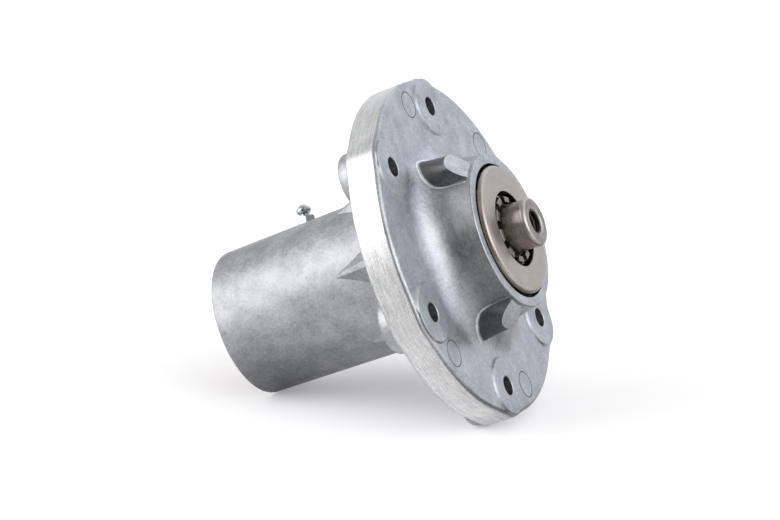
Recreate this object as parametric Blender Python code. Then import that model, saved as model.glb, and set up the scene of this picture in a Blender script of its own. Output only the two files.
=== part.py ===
"""Mower blade hub: a die-cast flanged housing with two taper roller bearings and a spindle.

The hub stands on the end of its tube. Z is the spindle's axis and points to the nose that
carries the blade. All sizes are in millimetres and become metres when points are made.
"""

from math import atan, cos, degrees, hypot, pi, radians, sin, sqrt, tan

import bmesh
import bpy
from mathutils import Matrix, Vector

MM = 0.001

# Flange, millimetres
HOLE_CIRCLE_R = 57.15
HOLE_COUNT = 6
HOLE_R = 3.75
FLANGE_MARGIN = 10.65
FLANGE_FACE_Z = 100.0
FLANGE_THICKNESS = 13.2
FLANGE_FRONT_ROUND = 1.6
FLANGE_BACK_ROUND = 0.9
LOBE_MARGIN = 0.6
LOBE_BLEND = 1.0
PAD_R = 11.3
PAD_RISE = 0.8
PAD_SLOPE = 0.8
HOLE_BREAK = 0.35
SCREW_BOSS_R = 10.9
SCREW_BOSS_DRAFT = 0.5
SCREW_BOSS_DEPTH = 4.5
SCREW_BOSS_ROUND = 1.4
EJECTOR_R = 5.1
EJECTOR_CIRCLE_R = 59.3
EJECTOR_OFFSET = 18.2
EJECTOR_DEPTH = 0.2

# Tube behind the flange
TUBE_WALL = 3.62
TUBE_DRAFT_DEG = 0.88
TUBE_EDGE = 0.9
TUBE_FILLET = 3.0
CUP_SHOULDER = 3.08
CAVITY_DRAFT = 0.7

# Boss in front of the flange
RIM_Z = 119.1
RIM_WALL = 5.02
RIM_ROUND = 1.0
RIM_LEAD_IN = 1.0
SWEEP_ANGLE_DEG = 22.0
SWEEP_RADIUS = 7.4

# Ribs between the boss and the flange
RIB_COUNT = 3
RIB_ANGLE_DEG = -18.6
RIB_REACH = 8.9
RIB_TIP_RISE = 10.4
RIB_HALF_WIDTH = 4.8
RIB_TIP_LEAN = 1.2
RIB_FOOT_HALF_WIDTH = 9.3
RIB_FLARE = ((0.0, 0.0), (0.5, 0.42), (0.88, 0.8), (1.0, 1.0))

# Gussets between the tube and the back of the flange
GUSSET_START_Z = 53.5
GUSSET_SLOPE = 0.33
GUSSET_FLANK = 1.05
GUSSET_CREST = 0.35
GUSSET_CREST_GROWTH = 0.034

# Taper roller bearings, one at each end, thick face of the cup outward
CUP_WIDTH = 13.0
CUP_FACE_GAP = 5.1
CUP_WALL = 5.113
CUP_PROUD = 1.9
CUP_EDGE = 1.0
CUP_ANGLE_DEG = 24.0
RACE_START = 0.9
RACE_STEP = 0.4
ROLLER_COUNT = 10
FIRST_ROLLER_DEG = 14.0
ROLLER_HALF_ANGLE_DEG = 3.5
ROLLER_SMALL_END = 4.4
ROLLER_LARGE_END = 12.2
ROLLER_GAP = 0.06
CONE_START = 2.2
CONE_END = 16.25
CONE_NOSE_WALL = 1.15
CONE_RIB_HEIGHT = 1.9
CAGE_WALL = 0.9
CAGE_START = 0.35
CAGE_END = 13.7
CAGE_GAP = 0.16
CAGE_NOTCH_WIDTH = 4.2
CAGE_NOTCH_DEPTH = 2.2

# Spindle
SPINDLE_R = 10.0
NOSE_REACH = 9.3
NOSE_BEAD_LENGTH = 1.6
NOSE_NECK_STEP = 0.45
SPINDLE_WAIST_STEP = 0.4
NOSE_BEAD_ROUND = 0.5
SPINDLE_EDGE = 0.8
SPINDLE_REAR_Z = 0.8
THREAD_BORE_R = 4.75
THREAD_DEPTH = 32.0
COUNTERSINK_R = 5.6
SLEEVE_WALL = 3.0

# Fits
SEAT_GAP = 0.3
PRESS_GAP = 0.08

# Retaining ring at the tube's end
RING_GROOVE_Z = 2.3
RING_THICKNESS = 1.9
RING_GROOVE_DEPTH = 1.45
RING_WIDTH_BACK = 3.0
RING_WIDTH_LUG = 1.9
RING_GAP_DEG = 20.0
RING_LUG_R = 2.6
RING_EYE_R = 1.0

# Grease fitting
FITTING_Z = 35.5
FITTING_ANGLE_DEG = 180.0
FITTING_SPOT_R = 4.7
FITTING_SPOT_DEPTH = 0.45
FITTING_THREAD_R = 2.9
FITTING_THREAD_LENGTH = 6.0
FITTING_HEX_FLATS = 6.9
FITTING_HEX_HEIGHT = 3.3
FITTING_NECK_R = 1.95
FITTING_HEAD_R = 3.15
FITTING_HEAD_CENTRE = 5.8
FITTING_HEIGHT = 8.0
FITTING_BORE_R = 1.2
FITTING_MOUTH_R = 0.7
FITTING_MOUTH_DEPTH = 0.9
FITTING_SEAT_DEPTH = 0.8
FITTING_LIP_R = 0.75
FITTING_LIP_THICKNESS = 0.6
CHECK_BALL_R = 1.1
SPRING_WIRE_R = 0.15
SPRING_TURNS = 5

# How finely round forms are drawn
HOUSING_STEPS = 56
FLANGE_STEPS_PER_HOLE = 14
PAD_STEPS = 30
RACE_STEPS = 50
CAGE_STEPS = 30
SHAFT_STEPS = 32
SMALL_STEPS = 18
EYE_STEPS = 10
ROLLER_STEPS = 10
RING_STEPS = 32
SPRING_STEPS_PER_TURN = 8

# Places worked out from the sizes above
FLANGE_BACK_Z = FLANGE_FACE_Z - FLANGE_THICKNESS
PAD_Z = FLANGE_FACE_Z + PAD_RISE
LOBE_R = PAD_R + LOBE_MARGIN
FLANGE_R = HOLE_CIRCLE_R + FLANGE_MARGIN
FRONT_CUP_Z = RIM_Z + CUP_PROUD
CUP_FACE_HOLE_R = SPINDLE_R + CUP_FACE_GAP
RACE_START_R = CUP_FACE_HOLE_R + RACE_STEP
CUP_R = RACE_START_R + (CUP_WIDTH - RACE_START) * tan(radians(CUP_ANGLE_DEG)) + CUP_WALL
CUP_SEAT_R = CUP_R + PRESS_GAP
CAVITY_R = CUP_SEAT_R - CUP_SHOULDER
TUBE_END_R = CUP_SEAT_R + TUBE_WALL
RIM_OUTER_R = CUP_SEAT_R + RIM_WALL
RIB_TIP_R = RIM_OUTER_R + RIB_REACH
RIB_FOOT_TIP_R = RIB_TIP_R + RIB_TIP_LEAN
GROOVE_WIDTH = RING_THICKNESS + 2 * PRESS_GAP
REAR_CUP_Z = RING_GROOVE_Z + GROOVE_WIDTH + SEAT_GAP
NOSE_Z = FRONT_CUP_Z + NOSE_REACH
NOSE_NECK_R = SPINDLE_R - NOSE_NECK_STEP
SPINDLE_WAIST_R = SPINDLE_R - SPINDLE_WAIST_STEP
TUBE_TAPER = tan(radians(TUBE_DRAFT_DEG))
RIB_SPACING = 360.0 / RIB_COUNT

# Bearing angles: the raceways and the rollers' axes meet at one point on the spindle's axis
CUP_ANGLE = radians(CUP_ANGLE_DEG)
ROLLER_HALF_ANGLE = radians(ROLLER_HALF_ANGLE_DEG)
PITCH_ANGLE = CUP_ANGLE - ROLLER_HALF_ANGLE
CONE_ANGLE = CUP_ANGLE - 2 * ROLLER_HALF_ANGLE
APEX = RACE_START_R / tan(CUP_ANGLE) - RACE_START


def clear_scene():
    """Empties the scene before the part is made."""
    for old in list(bpy.data.objects):
        bpy.data.objects.remove(old, do_unlink=True)


def material(name, colour, roughness, metallic):
    """Makes a Principled material from a colour, a roughness and a metallic value."""
    made = bpy.data.materials.new(name)
    made.use_nodes = True
    shader = made.node_tree.nodes["Principled BSDF"]
    shader.inputs["Base Color"].default_value = (*colour, 1.0)
    shader.inputs["Roughness"].default_value = roughness
    shader.inputs["Metallic"].default_value = metallic
    return made


def add_object(name, bm, finish=None):
    """Turns a bmesh into a smooth-shaded object with one material."""
    bmesh.ops.recalc_face_normals(bm, faces=bm.faces)
    mesh = bpy.data.meshes.new(name)
    bm.to_mesh(mesh)
    bm.free()
    if finish:
        mesh.materials.append(finish)
    mesh.shade_smooth()
    mesh.set_sharp_from_angle(angle=radians(32))
    made = bpy.data.objects.new(name, mesh)
    bpy.context.scene.collection.objects.link(made)
    return made


def combine(target, tool, operation):
    """Adds a Boolean of the tool to the target and hides the tool."""
    modifier = target.modifiers.new(tool.name, "BOOLEAN")
    modifier.object = tool
    modifier.operation = operation
    modifier.solver = "EXACT"
    tool.hide_render = True
    tool.display_type = "WIRE"


def arc(centre, radius, start_deg, end_deg, steps):
    """Points of an arc in the outline's plane, both ends included."""
    turns = [start_deg + (end_deg - start_deg) * i / steps for i in range(steps + 1)]
    return [
        (centre[0] + radius * cos(radians(t)), centre[1] + radius * sin(radians(t))) for t in turns
    ]


def turned(bm, outline, steps, closed=True):
    """Adds a turned solid: an outline of (radius, height) points spun about Z."""
    verts = [bm.verts.new((r * MM, 0.0, z * MM)) for r, z in outline]
    edges = [bm.edges.new(pair) for pair in zip(verts, verts[1:])]
    if closed:
        edges.append(bm.edges.new((verts[-1], verts[0])))
    bmesh.ops.spin(
        bm,
        geom=verts + edges,
        cent=(0.0, 0.0, 0.0),
        axis=(0.0, 0.0, 1.0),
        angle=2 * pi,
        steps=steps,
        use_merge=True,
    )
    bmesh.ops.remove_doubles(bm, verts=bm.verts, dist=1e-7)
    bm.normal_update()
    on_axis = [v for v in bm.verts if hypot(v.co.x, v.co.y) < 1e-8]
    flat = [v for v in on_axis if all(abs(f.normal.z) > 0.9999 for f in v.link_faces)]
    bmesh.ops.dissolve_verts(bm, verts=flat)


def turned_object(name, outline, steps, finish=None, closed=True):
    """Makes one turned solid as an object of its own."""
    bm = bmesh.new()
    turned(bm, outline, steps, closed)
    return add_object(name, bm, finish)


def loft(bm, loops, ring=False):
    """Joins loops of equal length into a solid, capped at both ends or closed into a ring."""
    rows = [[bm.verts.new(Vector(p) * MM) for p in loop] for loop in loops]
    pairs = list(zip(rows, rows[1:]))
    if ring:
        pairs.append((rows[-1], rows[0]))
    count = len(rows[0])
    for low, high in pairs:
        for i in range(count):
            j = (i + 1) % count
            bm.faces.new((low[i], low[j], high[j], high[i]))
    if not ring:
        bm.faces.new(list(reversed(rows[0])))
        bm.faces.new(rows[-1])


def polar(radius, angle_deg, z):
    """A point at a radius and an angle round the axis."""
    return (radius * cos(radians(angle_deg)), radius * sin(radians(angle_deg)), z)


def turn_and_move(bm, start, angle_deg, offset):
    """Turns the vertices made since start about Z, then moves them outward by offset."""
    spun = Matrix.Rotation(radians(angle_deg), 4, "Z")
    matrix = spun @ Matrix.Translation((offset * MM, 0.0, 0.0))
    bmesh.ops.transform(bm, matrix=matrix, verts=list(bm.verts)[start:])


def round_pattern(outline, steps, angles, circle_r):
    """Makes a bmesh with one turned solid at each angle of a circle."""
    bm = bmesh.new()
    for angle in angles:
        single = bmesh.new()
        turned(single, outline, steps, closed=False)
        turn_and_move(single, 0, angle, circle_r)
        piece = bpy.data.meshes.new("pattern")
        single.to_mesh(piece)
        single.free()
        bm.from_mesh(piece)
        bpy.data.meshes.remove(piece)
    return bm


def hole_angles():
    """Angles of the flange's holes."""
    return [360.0 * i / HOLE_COUNT for i in range(HOLE_COUNT)]


def tube_radius(z):
    """Outer radius of the tube, which grows toward the flange by the mould's draft."""
    return TUBE_END_R + TUBE_TAPER * z


def flange_radius(angle):
    """Edge of the flange: a circle that swells smoothly into a lobe round each hole."""
    spacing = 2 * pi / HOLE_COUNT
    off = (angle + spacing / 2) % spacing - spacing / 2
    side = HOLE_CIRCLE_R * sin(off)
    lobe = HOLE_CIRCLE_R * cos(off) + sqrt(max(LOBE_R**2 - side**2, 0.0))
    return (FLANGE_R + lobe + hypot(FLANGE_R - lobe, LOBE_BLEND)) / 2


def flange_loop(inset, z):
    """One outline of the flange's edge, drawn in by inset, at height z."""
    count = HOLE_COUNT * FLANGE_STEPS_PER_HOLE
    loop = []
    for i in range(count):
        angle = 2 * pi * i / count
        radius = flange_radius(angle) - inset
        loop.append((radius * cos(angle), radius * sin(angle), z))
    return loop


def flange_disc():
    """The flange: a thick lobed disc with rounded edges, open where the tube runs through."""
    inner_r = (CUP_SEAT_R + TUBE_END_R) / 2
    count = HOLE_COUNT * FLANGE_STEPS_PER_HOLE

    def inner(z):
        return [polar(inner_r, 360.0 * i / count, z) for i in range(count)]

    back = arc((FLANGE_BACK_ROUND, FLANGE_BACK_Z + FLANGE_BACK_ROUND), FLANGE_BACK_ROUND, 270, 180, 2)
    front_z = FLANGE_FACE_Z - FLANGE_FRONT_ROUND
    front = arc((FLANGE_FRONT_ROUND, front_z), FLANGE_FRONT_ROUND, 180, 90, 3)
    edge = [flange_loop(inset, z) for inset, z in back + front]
    bm = bmesh.new()
    loft(bm, [inner(FLANGE_BACK_Z)] + edge + [inner(FLANGE_FACE_Z)], ring=True)
    return add_object("flange_disc", bm)


def sweep_centre_r():
    """Radius of the centre of the hollow sweep between the boss's cone and the flange."""
    line_r = RIM_OUTER_R + (RIM_Z - FLANGE_FACE_Z) * tan(radians(SWEEP_ANGLE_DEG))
    return line_r + SWEEP_RADIUS * tan(radians(90.0 - SWEEP_ANGLE_DEG) / 2)


def boss_height(radius):
    """Height of the boss's outer surface at a radius: cone, then sweep, then flange face."""
    inward = sweep_centre_r() - radius
    if inward <= 0.0:
        return FLANGE_FACE_Z
    if inward < SWEEP_RADIUS * cos(radians(SWEEP_ANGLE_DEG)):
        return FLANGE_FACE_Z + SWEEP_RADIUS - sqrt(SWEEP_RADIUS**2 - inward**2)
    on_cone = RIM_Z - (radius - RIM_OUTER_R) / tan(radians(SWEEP_ANGLE_DEG))
    return min(on_cone, RIM_Z - RIM_ROUND)


def housing_outline():
    """Section of the tube, the front boss, the bearing seats and the grease cavity."""
    sweep_r = sweep_centre_r()
    sweep_end = SWEEP_ANGLE_DEG - 180.0
    sweep = arc((sweep_r, FLANGE_FACE_Z + SWEEP_RADIUS), SWEEP_RADIUS, -90.0, sweep_end, 5)
    fillet_z = FLANGE_BACK_Z - TUBE_FILLET
    fillet_centre = (tube_radius(fillet_z) + TUBE_FILLET, fillet_z)
    fillet = arc(fillet_centre, TUBE_FILLET, 180.0, 100.0, 3)
    sunk = 0.15
    inner_z = FLANGE_BACK_Z + 2.0
    seat_front = FRONT_CUP_Z - CUP_WIDTH - SEAT_GAP
    seat_rear = REAR_CUP_Z + CUP_WIDTH + SEAT_GAP
    groove_r = CUP_SEAT_R + RING_GROOVE_DEPTH
    middle_z = (seat_front + seat_rear) / 2
    rim_corner = arc((RIM_OUTER_R - RIM_ROUND, RIM_Z - RIM_ROUND), RIM_ROUND, 0.0, 90.0, 2)
    outline = [(TUBE_END_R - TUBE_EDGE, 0.0), (TUBE_END_R - 0.25 * TUBE_EDGE, 0.25 * TUBE_EDGE)]
    outline += [(tube_radius(TUBE_EDGE), TUBE_EDGE)]
    outline += fillet
    outline += [(fillet[-1][0] + 1.0, FLANGE_BACK_Z + sunk), (fillet[-1][0] + 1.0, inner_z)]
    outline += [(sweep_r + 1.0, inner_z), (sweep_r + 1.0, FLANGE_FACE_Z - sunk)]
    outline += sweep
    outline += rim_corner
    outline += [(CUP_SEAT_R + RIM_LEAD_IN, RIM_Z), (CUP_SEAT_R, RIM_Z - RIM_LEAD_IN)]
    outline += [(CUP_SEAT_R, seat_front), (CAVITY_R, seat_front)]
    outline += [(CAVITY_R - CAVITY_DRAFT, middle_z)]
    outline += [(CAVITY_R, seat_rear), (CUP_SEAT_R, seat_rear)]
    outline += [(CUP_SEAT_R, RING_GROOVE_Z + GROOVE_WIDTH), (groove_r, RING_GROOVE_Z + GROOVE_WIDTH)]
    outline += [(groove_r, RING_GROOVE_Z), (CUP_SEAT_R, RING_GROOVE_Z)]
    outline += [(CUP_SEAT_R, 0.5), (CUP_SEAT_R + 0.5, 0.0)]
    return outline


def leaf_half_width(radius, tip_r, reach, sharpness):
    """Half width of a leaf that runs from the rim to a tip; reach is its widest half width."""
    root_r = RIM_OUTER_R - RIM_ROUND
    widest_r = (root_r + tip_r) / 2
    if radius < widest_r:
        return reach * (1.0 - 0.4 * ((widest_r - radius) / (widest_r - root_r)) ** 2)
    share = (radius - widest_r) / (tip_r - widest_r)
    return reach * max(1.0 - share**sharpness, 0.0)


def rib_side(u, side):
    """Points down one side of a rib, from its crest to its foot, at a share u of its length."""
    root_r = RIM_OUTER_R - RIM_ROUND
    crest_r = root_r + (RIB_TIP_R - root_r) * u
    foot_r = root_r + (RIB_FOOT_TIP_R - root_r) * u
    crest_half = leaf_half_width(crest_r, RIB_TIP_R, RIB_HALF_WIDTH, 2.6)
    foot_half = leaf_half_width(foot_r, RIB_FOOT_TIP_R, RIB_FOOT_HALF_WIDTH, 1.6)
    tip_z = PAD_Z + RIB_TIP_RISE
    slope = (RIM_Z - RIM_ROUND - tip_z) / (RIB_TIP_R - RIM_OUTER_R)
    crest_z = tip_z + slope * (RIB_TIP_R - crest_r)
    foot_z = min(boss_height(hypot(foot_r, foot_half)) - 0.15, crest_z - 0.3)
    points = []
    for drop, flare in RIB_FLARE:
        half = crest_half + (foot_half - crest_half) * flare
        radius = crest_r + (foot_r - crest_r) * flare
        points.append((radius, side * half, crest_z + (foot_z - crest_z) * drop))
    points.append((foot_r, side * foot_half, FLANGE_FACE_Z - 1.0))
    return points


def rib_loops():
    """Level loops of one rib, from its buried foot up to the leaf-shaped crest."""
    steps = 8
    shares = [sin(0.5 * pi * i / steps) for i in range(steps)]
    stations = [rib_side(u, 1.0) for u in shares]
    stations += [rib_side(1.0, 0.0)]
    stations += [rib_side(u, -1.0) for u in reversed(shares)]
    return [[points[level] for points in stations] for level in reversed(range(len(RIB_FLARE) + 1))]


def ribs():
    """Three leaf-shaped ribs that stiffen the front boss."""
    bm = bmesh.new()
    for i in range(RIB_COUNT):
        start = len(bm.verts)
        loft(bm, rib_loops())
        bm.verts.ensure_lookup_table()
        turn_and_move(bm, start, RIB_ANGLE_DEG + RIB_SPACING * i, 0.0)
    return add_object("ribs", bm)


def gusset_loop(z):
    """Section of a gusset at height z: a narrow crest on flanks that spread to the tube."""
    root_r = (CUP_SEAT_R + TUBE_END_R) / 2
    crest_r = tube_radius(GUSSET_START_Z) + GUSSET_SLOPE * (z - GUSSET_START_Z) - 0.65
    crest_half = GUSSET_CREST + GUSSET_CREST_GROWTH * (z - GUSSET_START_Z)
    root_half = crest_half + GUSSET_FLANK * (crest_r - root_r)
    return [
        (root_r, root_half, z),
        (crest_r, crest_half, z),
        (crest_r, -crest_half, z),
        (root_r, -root_half, z),
    ]


def gussets():
    """Six pointed gussets, midway between the holes, that run up the tube to the flange."""
    bm = bmesh.new()
    loops = [gusset_loop(GUSSET_START_Z), gusset_loop(FLANGE_BACK_Z + 1.0)]
    for angle in hole_angles():
        start = len(bm.verts)
        loft(bm, loops)
        bm.verts.ensure_lookup_table()
        turn_and_move(bm, start, angle + 180.0 / HOLE_COUNT, 0.0)
    return add_object("gussets", bm)


def screw_bosses():
    """Drafted round bosses behind the holes."""
    end_z = FLANGE_BACK_Z - SCREW_BOSS_DEPTH
    root_r = SCREW_BOSS_R + SCREW_BOSS_DRAFT
    corner = arc((SCREW_BOSS_R - SCREW_BOSS_ROUND, end_z + SCREW_BOSS_ROUND), SCREW_BOSS_ROUND, -90, 0, 2)
    outline = [(0.0, end_z)] + corner + [(root_r, FLANGE_BACK_Z + 1.0), (0.0, FLANGE_BACK_Z + 1.0)]
    return add_object("screw_bosses", round_pattern(outline, SMALL_STEPS, hole_angles(), HOLE_CIRCLE_R))


def pad_foot_r(turn_deg, foot_r):
    """Reach of a pad's foot from the hole's centre, held inside the edge of the flange."""
    across = HOLE_CIRCLE_R * cos(radians(turn_deg))
    to_edge = sqrt(max(across**2 + FLANGE_R**2 - HOLE_CIRCLE_R**2, 0.0)) - across
    return min(foot_r, max(to_edge, LOBE_R) - 0.5 * LOBE_MARGIN)


def screw_pads():
    """Low machined pads round the holes, with edges that slope down to the flange."""
    foot_z = FLANGE_FACE_Z - FLANGE_FRONT_ROUND
    foot_r = PAD_R + PAD_SLOPE * (PAD_Z - foot_z) / PAD_RISE
    turns = [360.0 * i / PAD_STEPS for i in range(PAD_STEPS)]
    foot = [polar(pad_foot_r(turn, foot_r), turn, foot_z) for turn in turns]
    top = [polar(PAD_R, turn, PAD_Z) for turn in turns]
    bm = bmesh.new()
    for angle in hole_angles():
        start = len(bm.verts)
        loft(bm, [foot, top])
        bm.verts.ensure_lookup_table()
        turn_and_move(bm, start, angle, HOLE_CIRCLE_R)
    return add_object("screw_pads", bm)


def screw_holes():
    """Cutters of the flange's through holes, with a small break at the front edge."""
    low = FLANGE_BACK_Z - SCREW_BOSS_DEPTH - 1.0
    high = PAD_Z + HOLE_BREAK
    outline = [(0.0, low), (HOLE_R, low), (HOLE_R, PAD_Z - HOLE_BREAK)]
    outline += [(HOLE_R + 2 * HOLE_BREAK, high), (0.0, high)]
    return add_object("screw_holes", round_pattern(outline, SMALL_STEPS, hole_angles(), HOLE_CIRCLE_R))


def ejector_marks():
    """Cutters of the shallow round marks that the mould's ejector pins leave."""
    angles = [angle + EJECTOR_OFFSET for angle in hole_angles()]
    low = FLANGE_FACE_Z - EJECTOR_DEPTH
    high = FLANGE_FACE_Z + 1.0
    outline = [(0.0, low), (EJECTOR_R, low), (EJECTOR_R + 0.3, high), (0.0, high)]
    return add_object("ejector_marks", round_pattern(outline, SMALL_STEPS, angles, EJECTOR_CIRCLE_R))


def fitting_seat_r():
    """Distance from the axis to the flat that the grease fitting sits on."""
    return tube_radius(FITTING_Z) - FITTING_SPOT_DEPTH


def along_radius(obj, angle_deg, radius, z):
    """Stands an object made along Z outward from the axis at an angle and height."""
    obj.rotation_euler = (0.0, pi / 2, radians(angle_deg))
    obj.location = Vector(polar(radius, angle_deg, z)) * MM


def fitting_hole():
    """Cutter of the grease fitting's spot face and threaded hole."""
    hole_r = FITTING_THREAD_R + PRESS_GAP
    low = CAVITY_R - fitting_seat_r() - 3.0
    outline = [(0.0, low), (hole_r, low), (hole_r, 0.0), (FITTING_SPOT_R, 0.0), (FITTING_SPOT_R, 3.0)]
    outline += [(0.0, 3.0)]
    cutter = turned_object("fitting_hole", outline, SMALL_STEPS, closed=False)
    along_radius(cutter, FITTING_ANGLE_DEG, fitting_seat_r(), FITTING_Z)
    return cutter


def make_housing(finish):
    """The die-cast housing: tube, flange, boss, ribs, gussets, pads and bosses in one piece."""
    housing = turned_object("housing", housing_outline(), HOUSING_STEPS, finish)
    for tool in (flange_disc(), screw_bosses(), screw_pads(), gussets(), ribs()):
        combine(housing, tool, "UNION")
    for tool in (screw_holes(), ejector_marks(), fitting_hole()):
        combine(housing, tool, "DIFFERENCE")
    return housing


def race_r(angle, depth):
    """Radius at a depth below the cup's face of a cone that starts at the bearing's apex."""
    return (APEX + depth) * tan(angle)


def end_plane_point(depth, angle):
    """Where a line from the apex at an angle meets the plane of a roller's end face."""
    reach = (APEX + depth) / cos(PITCH_ANGLE) / cos(PITCH_ANGLE - angle)
    return reach * sin(angle), reach * cos(angle) - APEX


def roller_radius(depth):
    """Radius of a roller where its axis is at a depth below the cup's face."""
    return (APEX + depth) / cos(PITCH_ANGLE) * tan(ROLLER_HALF_ANGLE) - ROLLER_GAP


def stack(outline, face_z, direction):
    """Puts a bearing's (radius, depth) outline at its cup face, facing up (1) or down (-1)."""
    return [(r, face_z - direction * depth) for r, depth in outline]


def cup_outline():
    """Section of a cup: thick face outward, tapered raceway inside."""
    race_end = race_r(CUP_ANGLE, CUP_WIDTH)
    return [
        (CUP_R - CUP_EDGE, 0.0),
        (CUP_R - 0.3 * CUP_EDGE, 0.3 * CUP_EDGE),
        (CUP_R, CUP_EDGE),
        (CUP_R, CUP_WIDTH - 0.6),
        (CUP_R - 0.6, CUP_WIDTH),
        (race_end, CUP_WIDTH),
        (race_r(CUP_ANGLE, RACE_START), RACE_START),
        (CUP_FACE_HOLE_R, 0.4),
        (CUP_FACE_HOLE_R + 0.3, 0.0),
    ]


def cone_outline():
    """Section of a cone: bore, thin nose, tapered raceway and the tall rib that guides rollers."""
    bore_r = SPINDLE_R + PRESS_GAP
    nose_r = bore_r + CONE_NOSE_WALL
    slant = (APEX + ROLLER_LARGE_END) / cos(PITCH_ANGLE)
    race_in = end_plane_point(ROLLER_SMALL_END - SEAT_GAP, CONE_ANGLE)
    race_out = end_plane_point(ROLLER_LARGE_END + SEAT_GAP, CONE_ANGLE)
    rib_top = end_plane_point(ROLLER_LARGE_END + SEAT_GAP, CONE_ANGLE + CONE_RIB_HEIGHT / slant)
    return [
        (bore_r, CONE_START + 0.4),
        (bore_r + 0.4, CONE_START),
        (nose_r, CONE_START),
        (nose_r, race_in[1] - 0.4),
        race_in,
        race_out,
        rib_top,
        (rib_top[0], CONE_END - 0.6),
        (rib_top[0] - 0.6, CONE_END),
        (bore_r + 0.6, CONE_END),
        (bore_r, CONE_END - 0.6),
    ]


def cage_outline():
    """Section of a pressed cage: a tapered wall that follows the rollers' axes."""
    half = CAGE_WALL / 2 / cos(PITCH_ANGLE)
    start_r = race_r(PITCH_ANGLE, CAGE_START)
    end_r = race_r(PITCH_ANGLE, CAGE_END)
    edge = 0.25 * CAGE_WALL
    return [
        (start_r - half, CAGE_START),
        (start_r + half - edge, CAGE_START),
        (start_r + half + edge * tan(PITCH_ANGLE), CAGE_START + edge),
        (end_r + half, CAGE_END),
        (end_r - half, CAGE_END),
    ]


def roller_angle(index):
    """Angle of one roller round the spindle."""
    return FIRST_ROLLER_DEG + 360.0 * index / ROLLER_COUNT


def roller_place(index, face_z, direction):
    """Middle of one roller and the unit vector from it toward the bearing's apex."""
    depth = (ROLLER_SMALL_END + ROLLER_LARGE_END) / 2
    angle = roller_angle(index)
    centre = Vector(polar(race_r(PITCH_ANGLE, depth), angle, face_z - direction * depth))
    toward = Vector(polar(-sin(PITCH_ANGLE), angle, direction * cos(PITCH_ANGLE)))
    return centre, toward


def cage_cutters(name, face_z, direction):
    """Cutters of a cage's roller pockets and of the notches between the tabs at its small end."""
    bm = bmesh.new()
    middle = (ROLLER_SMALL_END + ROLLER_LARGE_END) / 2
    wall = 2.0 * CAGE_WALL
    for i in range(ROLLER_COUNT):
        centre, toward = roller_place(i, face_z, direction)
        outward = Vector(polar(cos(PITCH_ANGLE), roller_angle(i), direction * sin(PITCH_ANGLE)))
        sideways = toward.cross(outward)
        loops = []
        for level in (-wall, wall):
            loop = []
            for depth, side in (
                (ROLLER_SMALL_END, -1),
                (ROLLER_SMALL_END, 1),
                (ROLLER_LARGE_END, 1),
                (ROLLER_LARGE_END, -1),
            ):
                along = (middle - depth) / cos(PITCH_ANGLE)
                along += SEAT_GAP if depth == ROLLER_SMALL_END else -SEAT_GAP
                width = roller_radius(depth) + ROLLER_GAP + CAGE_GAP
                loop.append(centre + toward * along + sideways * side * width + outward * level)
            loops.append(loop)
        loft(bm, loops)
    near_r = race_r(PITCH_ANGLE, CAGE_START) - 2.0 * CAGE_WALL
    far_r = race_r(PITCH_ANGLE, CAGE_START + CAGE_NOTCH_DEPTH) + 2.0 * CAGE_WALL
    for i in range(ROLLER_COUNT):
        start = len(bm.verts)
        low = face_z - direction * (CAGE_START + CAGE_NOTCH_DEPTH)
        high = face_z - direction * (CAGE_START - 1.0)
        half = CAGE_NOTCH_WIDTH / 2
        square = [(near_r, -half), (far_r, -half), (far_r, half), (near_r, half)]
        loft(bm, [[(x, y, z) for x, y in square] for z in (low, high)])
        bm.verts.ensure_lookup_table()
        turn_and_move(bm, start, roller_angle(i), 0.0)
    return add_object(name, bm)


def roller_outline():
    """Section of a roller about its own axis, small end up."""
    middle = (ROLLER_SMALL_END + ROLLER_LARGE_END) / 2
    low = (middle - ROLLER_LARGE_END) / cos(PITCH_ANGLE)
    high = (middle - ROLLER_SMALL_END) / cos(PITCH_ANGLE)
    large = roller_radius(ROLLER_LARGE_END)
    small = roller_radius(ROLLER_SMALL_END)
    edge = 0.35
    return [
        (0.0, low),
        (large - edge, low),
        (large, low + edge),
        (small, high - edge),
        (small - edge, high),
        (0.0, high),
    ]


def make_bearing(prefix, face_z, direction, steel, pressed_steel):
    """One taper roller bearing: cup, cone, cage and rollers as separate pieces."""
    turned_object(prefix + "_cup", stack(cup_outline(), face_z, direction), RACE_STEPS, steel)
    turned_object(prefix + "_cone", stack(cone_outline(), face_z, direction), RACE_STEPS, steel)
    cage_section = stack(cage_outline(), face_z, direction)
    cage = turned_object(prefix + "_cage", cage_section, CAGE_STEPS, pressed_steel)
    combine(cage, cage_cutters(prefix + "_cage_pockets", face_z, direction), "DIFFERENCE")
    first = turned_object(prefix + "_roller_01", roller_outline(), ROLLER_STEPS, steel, closed=False)
    for i in range(ROLLER_COUNT):
        roller = first
        if i:
            roller = bpy.data.objects.new("%s_roller_%02d" % (prefix, i + 1), first.data)
            bpy.context.scene.collection.objects.link(roller)
        centre, toward = roller_place(i, face_z, direction)
        roller.location = centre * MM
        roller.rotation_euler = toward.to_track_quat("Z", "X").to_euler()


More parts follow.
